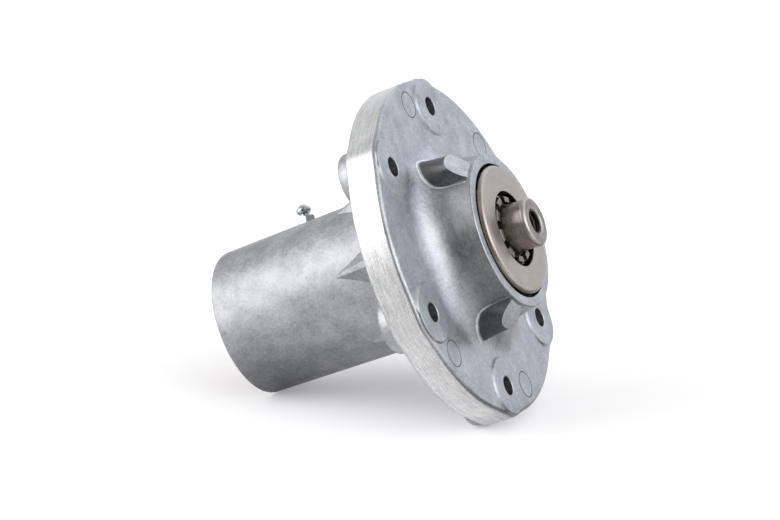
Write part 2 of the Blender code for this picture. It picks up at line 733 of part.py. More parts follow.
def make_spindle(finish):
    """The spindle: a bead at its nose, ground seats for the cones and a threaded bore at each end."""
    front_seat = FRONT_CUP_Z - CONE_END - 1.0
    rear_seat = REAR_CUP_Z + CONE_END + 1.0
    neck_start = NOSE_Z - NOSE_BEAD_LENGTH
    neck_end = FRONT_CUP_Z - 0.6
    edge = SPINDLE_EDGE
    tip = THREAD_BORE_R * 0.6
    cone_drop = COUNTERSINK_R - THREAD_BORE_R
    outline = [(0.0, NOSE_Z - THREAD_DEPTH - tip), (THREAD_BORE_R, NOSE_Z - THREAD_DEPTH)]
    outline += [(THREAD_BORE_R, NOSE_Z - cone_drop), (COUNTERSINK_R, NOSE_Z)]
    outline += arc((SPINDLE_R - edge, NOSE_Z - edge), edge, 90.0, 0.0, 3)
    bead_round = NOSE_BEAD_ROUND
    outline += arc((SPINDLE_R - bead_round, neck_start + bead_round), bead_round, 0.0, -60.0, 2)
    outline += [(NOSE_NECK_R, neck_start - 0.3), (NOSE_NECK_R, neck_end)]
    outline += [(SPINDLE_R, neck_end - 0.5), (SPINDLE_R, front_seat)]
    outline += [(SPINDLE_WAIST_R, front_seat - 0.5), (SPINDLE_WAIST_R, rear_seat + 0.5)]
    outline += [(SPINDLE_R, rear_seat), (SPINDLE_R, SPINDLE_REAR_Z + edge)]
    outline += [(SPINDLE_R - edge, SPINDLE_REAR_Z), (COUNTERSINK_R, SPINDLE_REAR_Z)]
    outline += [(THREAD_BORE_R, SPINDLE_REAR_Z + cone_drop), (THREAD_BORE_R, SPINDLE_REAR_Z + THREAD_DEPTH)]
    outline += [(0.0, SPINDLE_REAR_Z + THREAD_DEPTH + tip)]
    return turned_object("spindle", outline, SHAFT_STEPS, finish, closed=False)


def make_sleeve(finish):
    """The spacer sleeve that holds the two cones apart on the spindle."""
    low = REAR_CUP_Z + CONE_END + SEAT_GAP
    high = FRONT_CUP_Z - CONE_END - SEAT_GAP
    inner = SPINDLE_R + PRESS_GAP
    outer = inner + SLEEVE_WALL
    edge = 0.5
    outline = [(inner, low), (outer - edge, low), (outer, low + edge), (outer, high - edge)]
    outline += [(outer - edge, high), (inner, high)]
    return turned_object("spacer_sleeve", outline, SHAFT_STEPS, finish)


def make_retaining_ring(finish):
    """The sprung ring that keeps the rear cup in the tube: thicker at its back, with two eyes."""
    outer_r = CUP_SEAT_R + RING_GROOVE_DEPTH - PRESS_GAP
    start = RING_GAP_DEG / 2
    lug_circle_r = outer_r - RING_WIDTH_LUG - 0.4 * RING_LUG_R
    lug_deg = start + degrees(atan(RING_LUG_R / lug_circle_r))
    sweep = [start + (360.0 - 2 * start) * i / RING_STEPS for i in range(RING_STEPS + 1)]
    outer = [polar(outer_r, turn, 0.0) for turn in sweep]
    inner = []
    for turn in reversed(sweep):
        share = (1.0 - cos(radians(turn))) / 2
        width = RING_WIDTH_LUG + (RING_WIDTH_BACK - RING_WIDTH_LUG) * share
        inner.append(polar(outer_r - width, turn, 0.0))
    low = RING_GROOVE_Z + PRESS_GAP
    high = low + RING_THICKNESS
    bm = bmesh.new()
    loft(bm, [[(x, y, z) for x, y, _ in outer + inner] for z in (low, high)])
    ring = add_object("rear_retaining_ring", bm, finish)
    lug = [(0.0, low), (RING_LUG_R, low), (RING_LUG_R, high), (0.0, high)]
    eye = [(0.0, low - 1.0), (RING_EYE_R, low - 1.0), (RING_EYE_R, high + 1.0), (0.0, high + 1.0)]
    sides = (lug_deg, 360.0 - lug_deg)
    combine(ring, add_object("ring_lugs", round_pattern(lug, SMALL_STEPS, sides, lug_circle_r)), "UNION")
    combine(ring, add_object("ring_eyes", round_pattern(eye, EYE_STEPS, sides, lug_circle_r)), "DIFFERENCE")
    return ring


def fitting_outline():
    """Section of the grease fitting without its hexagon, from the stem's end to the tip."""
    head = arc((FITTING_HEAD_R - 1.5, FITTING_HEAD_CENTRE), 1.5, -70.0, 60.0, 4)
    seat_high = FITTING_HEIGHT - FITTING_MOUTH_DEPTH
    seat_low = seat_high - FITTING_SEAT_DEPTH
    low = -FITTING_THREAD_LENGTH
    outline = [(FITTING_LIP_R, low), (FITTING_THREAD_R - 0.5, low), (FITTING_THREAD_R, low + 0.5)]
    outline += [(FITTING_THREAD_R, 0.5), (FITTING_NECK_R, FITTING_HEX_HEIGHT)]
    outline += [(FITTING_NECK_R, FITTING_HEAD_CENTRE - 1.5)]
    outline += head
    outline += [(FITTING_MOUTH_R + 0.7, FITTING_HEIGHT), (FITTING_MOUTH_R, FITTING_HEIGHT)]
    outline += [(FITTING_MOUTH_R, seat_high), (FITTING_BORE_R, seat_low)]
    lip_z = low + FITTING_LIP_THICKNESS
    outline += [(FITTING_BORE_R, lip_z), (FITTING_LIP_R, lip_z - 0.2)]
    return outline


def fitting_hexagon():
    """The fitting's hexagon, with its corners turned down at the top."""
    across_corners = FITTING_HEX_FLATS / 2 / cos(pi / 6)
    core = FITTING_BORE_R + 0.6
    bm = bmesh.new()
    levels = ((core, SEAT_GAP), (across_corners, SEAT_GAP))
    levels += ((across_corners, FITTING_HEX_HEIGHT - 0.5), (across_corners - 0.8, FITTING_HEX_HEIGHT))
    levels += ((core, FITTING_HEX_HEIGHT),)
    loft(bm, [[polar(r, 60.0 * i, z) for i in range(6)] for r, z in levels], ring=True)
    return add_object("fitting_hexagon", bm)


def ball_height():
    """Height of the check ball's centre when it rests on its seat under the fitting's mouth."""
    run = FITTING_BORE_R - FITTING_MOUTH_R
    slope = FITTING_SEAT_DEPTH / run
    drop = (CHECK_BALL_R + ROLLER_GAP) * hypot(run, FITTING_SEAT_DEPTH) / run
    return FITTING_HEIGHT - FITTING_MOUTH_DEPTH + FITTING_MOUTH_R * slope - drop


def make_fitting(plated, steel):
    """The grease fitting with its check ball and spring."""
    body = turned_object("grease_fitting", fitting_outline(), SMALL_STEPS, plated)
    hexagon = fitting_hexagon()
    combine(body, hexagon, "UNION")
    seat = fitting_seat_r()
    for piece in (body, hexagon):
        along_radius(piece, FITTING_ANGLE_DEG, seat, FITTING_Z)
    bm = bmesh.new()
    bmesh.ops.create_icosphere(bm, subdivisions=2, radius=CHECK_BALL_R * MM)
    ball = add_object("check_ball", bm, steel)
    along_radius(ball, FITTING_ANGLE_DEG, seat + ball_height(), FITTING_Z)
    make_spring(seat, steel)


def make_spring(seat, finish):
    """The small coil spring that presses the check ball onto its seat."""
    low = FITTING_LIP_THICKNESS - FITTING_THREAD_LENGTH + 2 * SPRING_WIRE_R
    high = ball_height() - CHECK_BALL_R * 0.75
    coil_r = FITTING_BORE_R - SPRING_WIRE_R - 2 * PRESS_GAP
    curve = bpy.data.curves.new("fitting_spring", "CURVE")
    curve.dimensions = "3D"
    curve.bevel_depth = SPRING_WIRE_R * MM
    curve.bevel_resolution = 1
    curve.use_fill_caps = True
    spline = curve.splines.new("POLY")
    count = SPRING_TURNS * SPRING_STEPS_PER_TURN + 1
    spline.points.add(count - 1)
    for i in range(count):
        share = i / (count - 1)
        point = polar(coil_r, 360.0 * SPRING_TURNS * share, low + (high - low) * share)
        spline.points[i].co = (*(Vector(point) * MM), 1.0)
    curve.materials.append(finish)
    spring = bpy.data.objects.new("fitting_spring", curve)
    bpy.context.scene.collection.objects.link(spring)
    along_radius(spring, FITTING_ANGLE_DEG, seat, FITTING_Z)


def build():
    """Makes every piece of the hub."""
    clear_scene()
    cast_aluminium = material("cast_aluminium", (0.42, 0.44, 0.47), 0.45, 0.9)
    bearing_steel = material("ground_bearing_steel", (0.45, 0.43, 0.41), 0.3, 1.0)
    cage_steel = material("pressed_cage_steel", (0.36, 0.35, 0.34), 0.4, 1.0)
    spindle_steel = material("turned_spindle_steel", (0.43, 0.41, 0.39), 0.35, 1.0)
    sleeve_steel = material("drawn_sleeve_steel", (0.33, 0.32, 0.31), 0.45, 1.0)
    spring_steel = material("blued_spring_steel", (0.08, 0.08, 0.09), 0.4, 0.9)
    zinc_plate = material("zinc_plated_steel", (0.5, 0.53, 0.55), 0.25, 1.0)
    make_housing(cast_aluminium)
    make_bearing("front", FRONT_CUP_Z, 1, bearing_steel, cage_steel)
    make_bearing("rear", REAR_CUP_Z, -1, bearing_steel, cage_steel)
    make_spindle(spindle_steel)
    make_sleeve(sleeve_steel)
    make_retaining_ring(spring_steel)
    make_fitting(zinc_plate, bearing_steel)


build()
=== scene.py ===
from math import atan, cos, degrees, hypot, pi, radians, sin, sqrt, tan

import bmesh
import bpy
from mathutils import Matrix, Vector


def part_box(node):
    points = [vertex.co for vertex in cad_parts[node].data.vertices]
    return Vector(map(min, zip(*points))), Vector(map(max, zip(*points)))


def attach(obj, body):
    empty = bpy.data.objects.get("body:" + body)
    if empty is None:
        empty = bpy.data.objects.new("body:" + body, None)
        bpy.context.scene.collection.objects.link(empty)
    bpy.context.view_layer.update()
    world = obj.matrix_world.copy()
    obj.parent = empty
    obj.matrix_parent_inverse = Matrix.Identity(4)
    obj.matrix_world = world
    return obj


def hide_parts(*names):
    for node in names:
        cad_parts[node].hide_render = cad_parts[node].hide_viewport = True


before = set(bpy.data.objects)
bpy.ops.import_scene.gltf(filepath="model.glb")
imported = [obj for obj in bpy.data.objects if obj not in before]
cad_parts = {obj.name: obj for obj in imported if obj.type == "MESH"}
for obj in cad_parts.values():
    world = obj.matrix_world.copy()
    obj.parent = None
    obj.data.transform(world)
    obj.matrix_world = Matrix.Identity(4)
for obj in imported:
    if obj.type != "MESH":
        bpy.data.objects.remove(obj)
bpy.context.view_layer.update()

# The table: a seamless sheet of white paper. The hub lies on it on the rim of its flange and on
# the end of its tube, and these two contacts give the sheet its slope. The paper is brighter
# where the camera and polished metal see it, and keeps the hub's shadow.


def linear(code):
    """Linear colour of an sRGB hex code."""
    parts = [int(code[i : i + 2], 16) / 255 for i in (1, 3, 5)]
    return [p / 12.92 if p <= 0.04045 else ((p + 0.055) / 1.055) ** 2.4 for p in parts] + [1.0]


def add_node(tree, kind, inputs=None, **settings):
    """Adds a shader node and sets it; a node given as an input stands for its first output."""
    node = tree.nodes.new("ShaderNode" + kind)
    for key, value in settings.items():
        setattr(node, key, value)
    for key, value in (inputs or {}).items():
        if isinstance(value, bpy.types.Node):
            value = value.outputs[0]
        if isinstance(value, bpy.types.NodeSocket):
            tree.links.new(value, node.inputs[key])
        else:
            node.inputs[key].default_value = value
    return node


def new_tree(name):
    """A new material and its empty node tree."""
    material = bpy.data.materials.new(name)
    material.use_nodes = True
    material.node_tree.nodes.clear()
    return material, material.node_tree


# Where the hub touches the paper: radius and height on the flange and on the tube
CONTACT_TURN = radians(15.0)
FLANGE_CONTACT = (67.8, 86.8)
TUBE_CONTACT = (29.6, 0.5)
lean = atan((FLANGE_CONTACT[0] - TUBE_CONTACT[0]) / (FLANGE_CONTACT[1] - TUBE_CONTACT[1]))
up = Vector((-cos(lean) * cos(CONTACT_TURN), -cos(lean) * sin(CONTACT_TURN), sin(lean)))
lowest = min(up.dot(v.co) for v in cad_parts["housing"].data.vertices)
camera_right = Vector((0.2603, 0.4447, 0.8570))
side = (camera_right - up * camera_right.dot(up)).normalized()
front = side.cross(up)

paper, tree = new_tree("white_paper")
path = add_node(tree, "LightPath")
below = add_node(tree, "NewGeometry").outputs["Backfacing"]
matte = add_node(tree, "BsdfDiffuse", {"Color": linear("#f4f3f4"), "Roughness": 1.0})
glow = add_node(tree, "Emission", {"Color": linear("#fffdff"), "Strength": 0.2})
lit = add_node(tree, "AddShader", {0: matte, 1: glow})
place = add_node(tree, "TexCoord").outputs["Object"]
shadow_black = add_node(tree, "BsdfDiffuse", {"Color": (0.0, 0.0, 0.0, 1.0)})
# Painted shadow: where polished metal mirrors the paper, it is mixed toward black at the flange's
# right and under the tube, deeper than the paper's own shadow
spot = add_node(tree, "VectorMath", {0: place, 1: (0.004, -0.02, 0.0)}, operation="DISTANCE")
shadow_under_tube = add_node(tree, "MapRange", {"Value": spot.outputs[1], 1: 0.015, 2: 0.06, 3: 0.4, 4: 1.0})
across = add_node(tree, "VectorMath", {0: place, 1: (0.838, -0.546, 0.0)}, operation="DOT_PRODUCT")
reach = add_node(tree, "MapRange", {"Value": across.outputs[1], 1: 0.1, 2: 0.225, 3: 0.0, 4: 1.0})
shadow_beside_flange = add_node(tree, "ValToRGB", {"Fac": reach})
levels = ((0.11, 1.0), (0.22, 0.22), (0.5, 0.3), (0.9, 0.9))
for _ in levels[2:]:
    shadow_beside_flange.color_ramp.elements.new(0.5)
for stop, (position, level) in zip(shadow_beside_flange.color_ramp.elements, levels):
    stop.position = position
    stop.color = (level, level, level, 1.0)
shade = add_node(tree, "Math", {0: shadow_under_tube, 1: shadow_beside_flange}, operation="MULTIPLY")
mirrored = add_node(tree, "MixShader", {0: shade, 1: shadow_black, 2: lit})
glossy, direct = path.outputs["Is Glossy Ray"], path.outputs["Is Camera Ray"]
shown = add_node(tree, "MixShader", {0: glossy, 1: matte, 2: mirrored})
seen = add_node(tree, "MixShader", {0: direct, 1: shown, 2: lit})
# From under the sheet the hub is still seen
clear = add_node(tree, "BsdfTransparent")
sheet_face = add_node(tree, "MixShader", {0: below, 1: seen, 2: clear})
add_node(tree, "OutputMaterial", {"Surface": sheet_face})

SHEET_FRONT = 0.2
SHEET_BACK = 3.0
SHEET_HALF = 3.0
SHEET_GAP = 0.00005
bm = bmesh.new()
near_edge = [(-SHEET_HALF, -SHEET_FRONT), (SHEET_HALF, -SHEET_FRONT)]
far_edge = [(SHEET_HALF, SHEET_BACK), (-SHEET_HALF, SHEET_BACK)]
bm.faces.new([bm.verts.new((x, y, 0.0)) for x, y in near_edge + far_edge])
sheet_mesh = bpy.data.meshes.new("paper_sheet")
bm.to_mesh(sheet_mesh)
bm.free()
sheet_mesh.materials.append(paper)
sheet = bpy.data.objects.new("paper_sheet", sheet_mesh)
flat_turn = Matrix((side, -front, up)).transposed().to_4x4()
sheet.matrix_world = Matrix.Translation(up * (lowest - SHEET_GAP)) @ flat_turn
bpy.context.scene.collection.objects.link(sheet)

# The camera: a long lens 1.2 m away, beside the hub and a little in front of the flange's face.
# Its place and turn come from the screw holes and the bearing's circles in the photograph.
CAMERA_PLACE = (0.1905, -1.0400, 0.5467)
SENSOR = 36.0
FOCAL_PIXELS = 2954.2
PICTURE_WIDTH = 780.0
camera_up = Vector((-0.9507, -0.0365, 0.3077))
camera_back = camera_right.cross(camera_up).normalized()
camera_data = bpy.data.cameras.new("camera")
camera_data.sensor_width = SENSOR
camera_data.lens = SENSOR * FOCAL_PIXELS / PICTURE_WIDTH
camera = bpy.data.objects.new("camera", camera_data)
turn = Matrix((camera_right, camera_back.cross(camera_right), camera_back)).transposed()
camera.matrix_world = Matrix.Translation(CAMERA_PLACE) @ turn.to_4x4()
bpy.context.scene.collection.objects.link(camera)
bpy.context.scene.camera = camera

# The light: a large soft box at the left, which burns out the rim of the flange, and a weaker
# one at the right. The room is white behind the hub and at its right, and dark behind the camera
# and overhead. Polished metal shows that room; matt paper gets its average.
hub_middle = Vector((0.0, 0.0, 0.075))


def toward(azimuth, elevation):
    """Direction from the hub: azimuth from the camera to the right, elevation from the paper."""
    level = cos(radians(elevation))
    flat = side * sin(radians(azimuth)) + front * cos(radians(azimuth))
    return flat * level + up * sin(radians(elevation))


def soft_box(name, azimuth, elevation, distance, width, height, watts):
    """A rectangular soft light aimed at the hub."""
    data = bpy.data.lights.new(name, "AREA")
    data.shape = "RECTANGLE"
    data.size = width
    data.size_y = height
    data.energy = watts
    lamp = bpy.data.objects.new(name, data)
    lamp.location = hub_middle + toward(azimuth, elevation) * distance
    lamp.rotation_mode = "QUATERNION"
    lamp.rotation_quaternion = toward(azimuth, elevation).to_track_quat("Z", "Y")
    bpy.context.scene.collection.objects.link(lamp)


soft_box("left_box", -76.0, 24.0, 1.2, 1.15, 0.95, 6.5)
soft_box("right_box", 58.0, 32.0, 1.4, 1.1, 1.1, 4.2)

world = bpy.data.worlds.new("studio")
bpy.context.scene.world = world
world.use_nodes = True
tree = world.node_tree
tree.nodes.clear()
WHITE = (1.0, 1.0, 1.0, 1.0)
path = add_node(tree, "LightPath")
place = add_node(tree, "TexCoord").outputs["Generated"]
# Each patch: its middle, where its fade starts and ends, and the share of the room's light in it
tone = 0.95
for azimuth, elevation, inner, outer, level in (
    (-17.0, 18.0, 20.0, 43.0, 0.17),
    (20.0, -40.0, 25.0, 60.0, 0.2),
    (-60.0, 88.0, 15.0, 50.0, 0.45),
    (72.0, 10.0, 20.0, 60.0, 1.4),
    (140.0, 52.0, 12.0, 35.0, 1.45),
    (-140.0, 36.0, 15.0, 32.0, 0.72),
):
    aim = toward(azimuth, elevation)
    cosine = add_node(tree, "VectorMath", {0: place, 1: aim}, operation="DOT_PRODUCT")
    limits = {1: cos(radians(outer)), 2: cos(radians(inner)), 3: 1.0, 4: level}
    patch = add_node(tree, "MapRange", {"Value": cosine.outputs["Value"], **limits})
    tone = add_node(tree, "Math", {0: tone, 1: patch}, operation="MULTIPLY")
# Behind the hub at the right the room is a little bluer
cool = add_node(tree, "VectorMath", {0: place, 1: toward(120.0, 0.0)}, operation="DOT_PRODUCT")
tint = add_node(tree, "MapRange", {"Value": cool.outputs["Value"], 1: 0.0, 2: 0.9, 3: 0.0, 4: 1.0})
hue = add_node(tree, "Mix", {0: tint, 6: WHITE, 7: (0.93, 0.98, 1.05, 1.0)}, data_type="RGBA")
soft = add_node(tree, "Background", {"Color": WHITE, "Strength": 0.8})
shown = add_node(tree, "Background", {"Color": hue.outputs[2], "Strength": tone})
white = add_node(tree, "Background", {"Color": WHITE, "Strength": 1.0})
glossy, direct = path.outputs["Is Glossy Ray"], path.outputs["Is Camera Ray"]
metal = add_node(tree, "MixShader", {0: glossy, 1: soft, 2: shown})
seen = add_node(tree, "MixShader", {0: direct, 1: metal, 2: white})
add_node(tree, "OutputWorld", {"Surface": seen})

# The housing: one aluminium pressure die casting. The tube, the thick lobed flange, the boss
# with its leaf-shaped ribs, the gussets and the screw bosses come out of the mould together;
# the rim, the bearing seats, the pads and the screw holes are touched by a tool afterwards.
# Turned and lofted forms are given in millimetres; places, the ball and its spring in metres.
TUBE_RADIUS, TUBE_DRAFT = 29.7, radians(0.88)
TUBE_MOUTH, TUBE_ROUND = 26.6, 0.9
TUBE_FILLET = 3.0
# Levels of the tube's surface; the gussets' tips are between the two close ones
TUBE_ROWS = (12.0, 24.0, 36.0, 48.0, 55.7, 56.7, 62.0, 72.0)
# Radius that is safely inside the tube's wall
IN_WALL = 27.9
BACK, FACE, PAD, RIM = 86.8, 100.0, 100.8, 119.1
BACK_ROUND, FACE_ROUND = 0.9, 1.6
FLANGE_EDGE, LOBE_RADIUS, LOBE_BLEND = 67.8, 11.7, 1.7
HOLE_CIRCLE, HOLE_RADIUS = 57.15, 3.75
PAD_RADIUS = 11.3
BOSS_RADIUS, BOSS_ROUND, BOSS_END = 10.9, 1.4, 82.3
RIM_EDGE, RIM_ROUND = 31.1, 0.7
SWEEP, SWEEP_TILT = 14.0, radians(9.0)
SEAT, SHOULDER, CAVITY = 26.08, 23.0, 22.3
FRONT_SHOULDER_Z, CAVITY_Z, REAR_SHOULDER_Z = 107.7, 63.0, 17.96
# The mouth of the front seat: how much wider it is, and how deep below the rim
SEAT_MOUTH = ((1.25, 0.0), (1.05, 0.2), (0.8, 2.8), (0.0, 3.2))
RING_GROOVE, RING_GROOVE_LOW, RING_GROOVE_HIGH = 27.53, 2.3, 4.36
GUSSET_TIP_Z, GUSSET_SLOPE = 56.3, 0.353
GUSSET_HALF, GUSSET_SPREAD = 0.35, 0.06
# Ejector pins: the turn of the first, and of the one place in six that has none
PIN_TURN, PIN_MISSING, PIN_CIRCLE = 18.2, 240.0, 59.3
PIN_RADIUS, PIN_LINE, PIN_DEPTH = 5.1, 0.24, 0.15
STEM_HOLE, SPOT_RADIUS = 2.98, 4.75
FITTING_X, FITTING_Z = -0.029795, 0.0355
FITTING_TURN = Matrix.Rotation(-pi / 2, 4, "Y")
FITTING_PLACE = Matrix.Translation((FITTING_X, 0.0, FITTING_Z)) @ FITTING_TURN
RIB_TURN = -18.6
CREST_NOSE, CREST_NOSE_Z, CREST_SLOPE = 39.3, 111.3, 0.775
# A leaf: where it is widest, half its width there, its nose, bluntness and taper to the rim
CREST_LEAF = (34.8, 5.2, CREST_NOSE, 2.5, 0.08)
FOOT_LEAF = (34.0, 7.9, 41.4, 1.45, 0.2)
# A rib's flank from crest to foot: how far down and how far out, as shares
RIB_FLARE = ((0.0, -0.015), (0.012, 0.0), (0.3, 0.2), (0.6, 0.48), (0.85, 0.79), (1.0, 1.0))
FLANK_DROP = 0.93
RIB_POINTS, RIB_ROWS = 49, 10
RIB_FLANK, RIB_FILLET, RIB_CREST = 1, 2, 3
HOUSING_TURNS = 168
SHARP_EDGE = radians(32.0)


def arc(centre, radius, start_deg, end_deg, steps):
    """Points of an arc in a section's plane, both ends included."""
    turns = [radians(start_deg + (end_deg - start_deg) * i / steps) for i in range(steps + 1)]
    return [(centre[0] + radius * cos(t), centre[1] + radius * sin(t)) for t in turns]


def rounded(corners, steps=4):
    """A section's points from (radius, height, rounding) corners, each rounded by an arc."""
    points = []
    count = len(corners)
    for i, (r, z, size) in enumerate(corners):
        here = Vector((r, z))
        before = Vector(corners[i - 1][:2]) - here
        after = Vector(corners[(i + 1) % count][:2]) - here
        if size <= 0.0:
            points.append((r, z))
            continue
        half = before.angle(after) / 2
        reach = min(size / tan(half), 0.49 * before.length, 0.49 * after.length)
        size = reach * tan(half)
        first = here + before.normalized() * reach
        last = here + after.normalized() * reach
        centre = here + (before.normalized() + after.normalized()).normalized() * (size / sin(half))
        for k in range(steps + 1):
            share = k / steps
            point = first.lerp(last, share) - centre
            points.append(tuple(centre + point.normalized() * size))
    return points


def loft(bm, loops, ring=False):
    """Joins loops of millimetre points into a solid, capped or closed into a ring."""
    rows = [[bm.verts.new(Vector(p) * 0.001) for p in loop] for loop in loops]
    pairs = list(zip(rows, rows[1:]))
    if ring:
        pairs.append((rows[-1], rows[0]))
    count = len(rows[0])
    for low, high in pairs:
        for i in range(count):
            j = (i + 1) % count
            bm.faces.new((low[i], low[j], high[j], high[i]))
    if not ring:
        bm.faces.new(list(reversed(rows[0])))
        bm.faces.new(rows[-1])


def circle(radius, z, steps):
    """A level loop of points round the axis."""
    turns = [2 * pi * i / steps for i in range(steps)]
    return [(radius * cos(t), radius * sin(t), z) for t in turns]


def make_object(name, bm, finish=None):
    """Turns a mesh under construction into a smooth object with one finish."""
    bmesh.ops.recalc_face_normals(bm, faces=bm.faces)
    mesh = bpy.data.meshes.new(name)
    bm.to_mesh(mesh)
    bm.free()
    if finish:
        mesh.materials.append(finish)
    mesh.shade_smooth()
    mesh.set_sharp_from_angle(angle=SHARP_EDGE)
    made = bpy.data.objects.new(name, mesh)
    bpy.context.scene.collection.objects.link(made)
    return made


def lofted(name, loops, finish=None, ring=False):
    """One object lofted through loops of millimetre points."""
    bm = bmesh.new()
    loft(bm, loops, ring)
    return make_object(name, bm, finish)


def turned(name, section, steps, finish=None, ring=True):
    """A turned solid from (radius, height) points; a ring has no points on the axis."""
    return lofted(name, [circle(r, z, steps) for r, z in section], finish, ring)


def spread(name, loops, places, ring=False):
    """One object with a copy of the same lofted form at each (angle in degrees, radius)."""
    bm = bmesh.new()
    for angle, radius in places:
        start = len(bm.verts)
        loft(bm, loops, ring)
        bm.verts.ensure_lookup_table()
        out = Matrix.Translation((radius * 0.001, 0.0, 0.0))
        matrix = Matrix.Rotation(radians(angle), 4, "Z") @ out
        bmesh.ops.transform(bm, matrix=matrix, verts=list(bm.verts)[start:])
    return make_object(name, bm)


def join_and_cut(base, added, cut, finish=None):
    """Joins some forms to a base, cuts others out, and keeps only the finished mesh."""
    for tool, operation in [(t, "UNION") for t in added] + [(t, "DIFFERENCE") for t in cut]:
        step = base.modifiers.new(tool.name, "BOOLEAN")
        step.object = tool
        step.operation = operation
        step.solver = "EXACT"
    ready = base.evaluated_get(bpy.context.evaluated_depsgraph_get())
    finished = bpy.data.meshes.new_from_object(ready)
    base.modifiers.clear()
    base.data = finished
    finished.name = base.name
    finished.shade_smooth()
    finished.set_sharp_from_angle(angle=SHARP_EDGE)
    if finish:
        finished.materials.clear()
        finished.materials.append(finish)
    for tool in added + cut:
        bpy.data.objects.remove(tool, do_unlink=True)
    even = base.modifiers.new("even_shading", "WEIGHTED_NORMAL")
    even.keep_sharp = True


def tube_edge(z):
    """Outer radius of the tube, which tapers a little so that it leaves the mould."""
    return TUBE_RADIUS + z * tan(TUBE_DRAFT)


def from_sixth(turn):
    """Angle from the nearest of six even directions."""
    return (turn + pi / 6) % (pi / 3) - pi / 6


sweep_centre = RIM_EDGE + (RIM - FACE) * tan(SWEEP_TILT) + SWEEP * tan(pi / 4 - SWEEP_TILT / 2)


def boss_height(radius):
    """Height of the boss's outer surface at a radius."""
    inward = sweep_centre - radius
    if inward <= 0.0:
        return FACE
    if inward < SWEEP * cos(SWEEP_TILT):
        return FACE + SWEEP - sqrt(SWEEP**2 - inward**2)
    return min(RIM - (radius - RIM_EDGE) / tan(SWEEP_TILT), RIM - 1.0)


def flange_loop(inset, z):
    """The flange's outline, drawn in by inset: a circle that swells round each screw hole."""
    loop = []
    for i in range(HOUSING_TURNS):
        angle = 2 * pi * i / HOUSING_TURNS
        off = from_sixth(angle)
        across = sqrt(max(LOBE_RADIUS**2 - (HOLE_CIRCLE * sin(off)) ** 2, 0.0))
        lobe = HOLE_CIRCLE * cos(off) + across
        radius = (FLANGE_EDGE + lobe + hypot(FLANGE_EDGE - lobe, LOBE_BLEND)) / 2 - inset
        loop.append((radius * cos(angle), radius * sin(angle), z))
    return loop


def housing_section():
    """Section of the turned part: tube, fillet, flange's middle, sweep, cone, rim and bore."""
    fillet_z = BACK - TUBE_FILLET
    fillet = arc((tube_edge(fillet_z) + TUBE_FILLET, fillet_z), TUBE_FILLET, 180.0, 100.0, 8)
    sweep = arc((sweep_centre, FACE + SWEEP), SWEEP, -90.0, -171.0, 26)
    hidden_r = fillet[-1][0] + 1.0
    corner = arc((TUBE_RADIUS - TUBE_ROUND, TUBE_ROUND), TUBE_ROUND, -90.0, 0.0, 5)
    outline = [(TUBE_MOUTH, 0.0)] + corner
    outline += [(tube_edge(z), z) for z in TUBE_ROWS] + fillet
    outline += [(hidden_r, BACK + 0.15), (hidden_r, BACK + 2.0)]
    outline += [(sweep_centre + 1.0, BACK + 2.0), (sweep_centre + 1.0, FACE - 0.15)] + sweep
    outline += arc((RIM_EDGE - RIM_ROUND, RIM - RIM_ROUND), RIM_ROUND, 10.0, 90.0, 5)
    outline += [(SEAT + wider, RIM - depth) for wider, depth in SEAT_MOUTH]
    outline += [(SEAT, FRONT_SHOULDER_Z), (SHOULDER, FRONT_SHOULDER_Z), (CAVITY, CAVITY_Z)]
    outline += [(SHOULDER, REAR_SHOULDER_Z), (SEAT, REAR_SHOULDER_Z)]
    outline += [(SEAT, RING_GROOVE_HIGH), (RING_GROOVE, RING_GROOVE_HIGH)]
    outline += [(RING_GROOVE, RING_GROOVE_LOW), (SEAT, RING_GROOVE_LOW), (SEAT, 0.5)]
    return outline


def pad_loops():
    """A low pad round a screw hole: a soft foot, a sloping edge and a flat top."""

    def foot(turn, reach):
        across = HOLE_CIRCLE * cos(turn)
        edge = sqrt(across**2 + FLANGE_EDGE**2 - HOLE_CIRCLE**2) - across
        return min(reach, max(edge, LOBE_RADIUS) - 0.1)

    turns = [2 * pi * i / 72 for i in range(72)]
    levels = [(12.5, 98.4), (12.2, FACE - 0.06), (12.0, FACE + 0.08), (11.45, PAD - 0.14)]
    levels += [(PAD_RADIUS, PAD - 0.04), (11.1, PAD)]
    loops = []
    for reach, z in levels:
        radii = [foot(t, reach) if z < PAD - 0.2 else reach for t in turns]
        loops.append([(r * cos(t), r * sin(t), z) for r, t in zip(radii, turns)])
    return loops


def leaf(share, widest, half, nose, bluntness, taper):
    """A point of a leaf's outline as (radius, half width): share 0 is at the rim, 1 is the nose."""
    root = RIM_EDGE - 1.0
    bend = 0.4
    if share < bend:
        radius = root + (widest - root) * share / bend
        return radius, half - taper * (widest - radius) ** 2
    turn = pi / 2 * (share - bend) / (1.0 - bend)
    power = 2 / bluntness
    return widest + (nose - widest) * sin(turn) ** power, half * max(cos(turn), 0.0) ** power


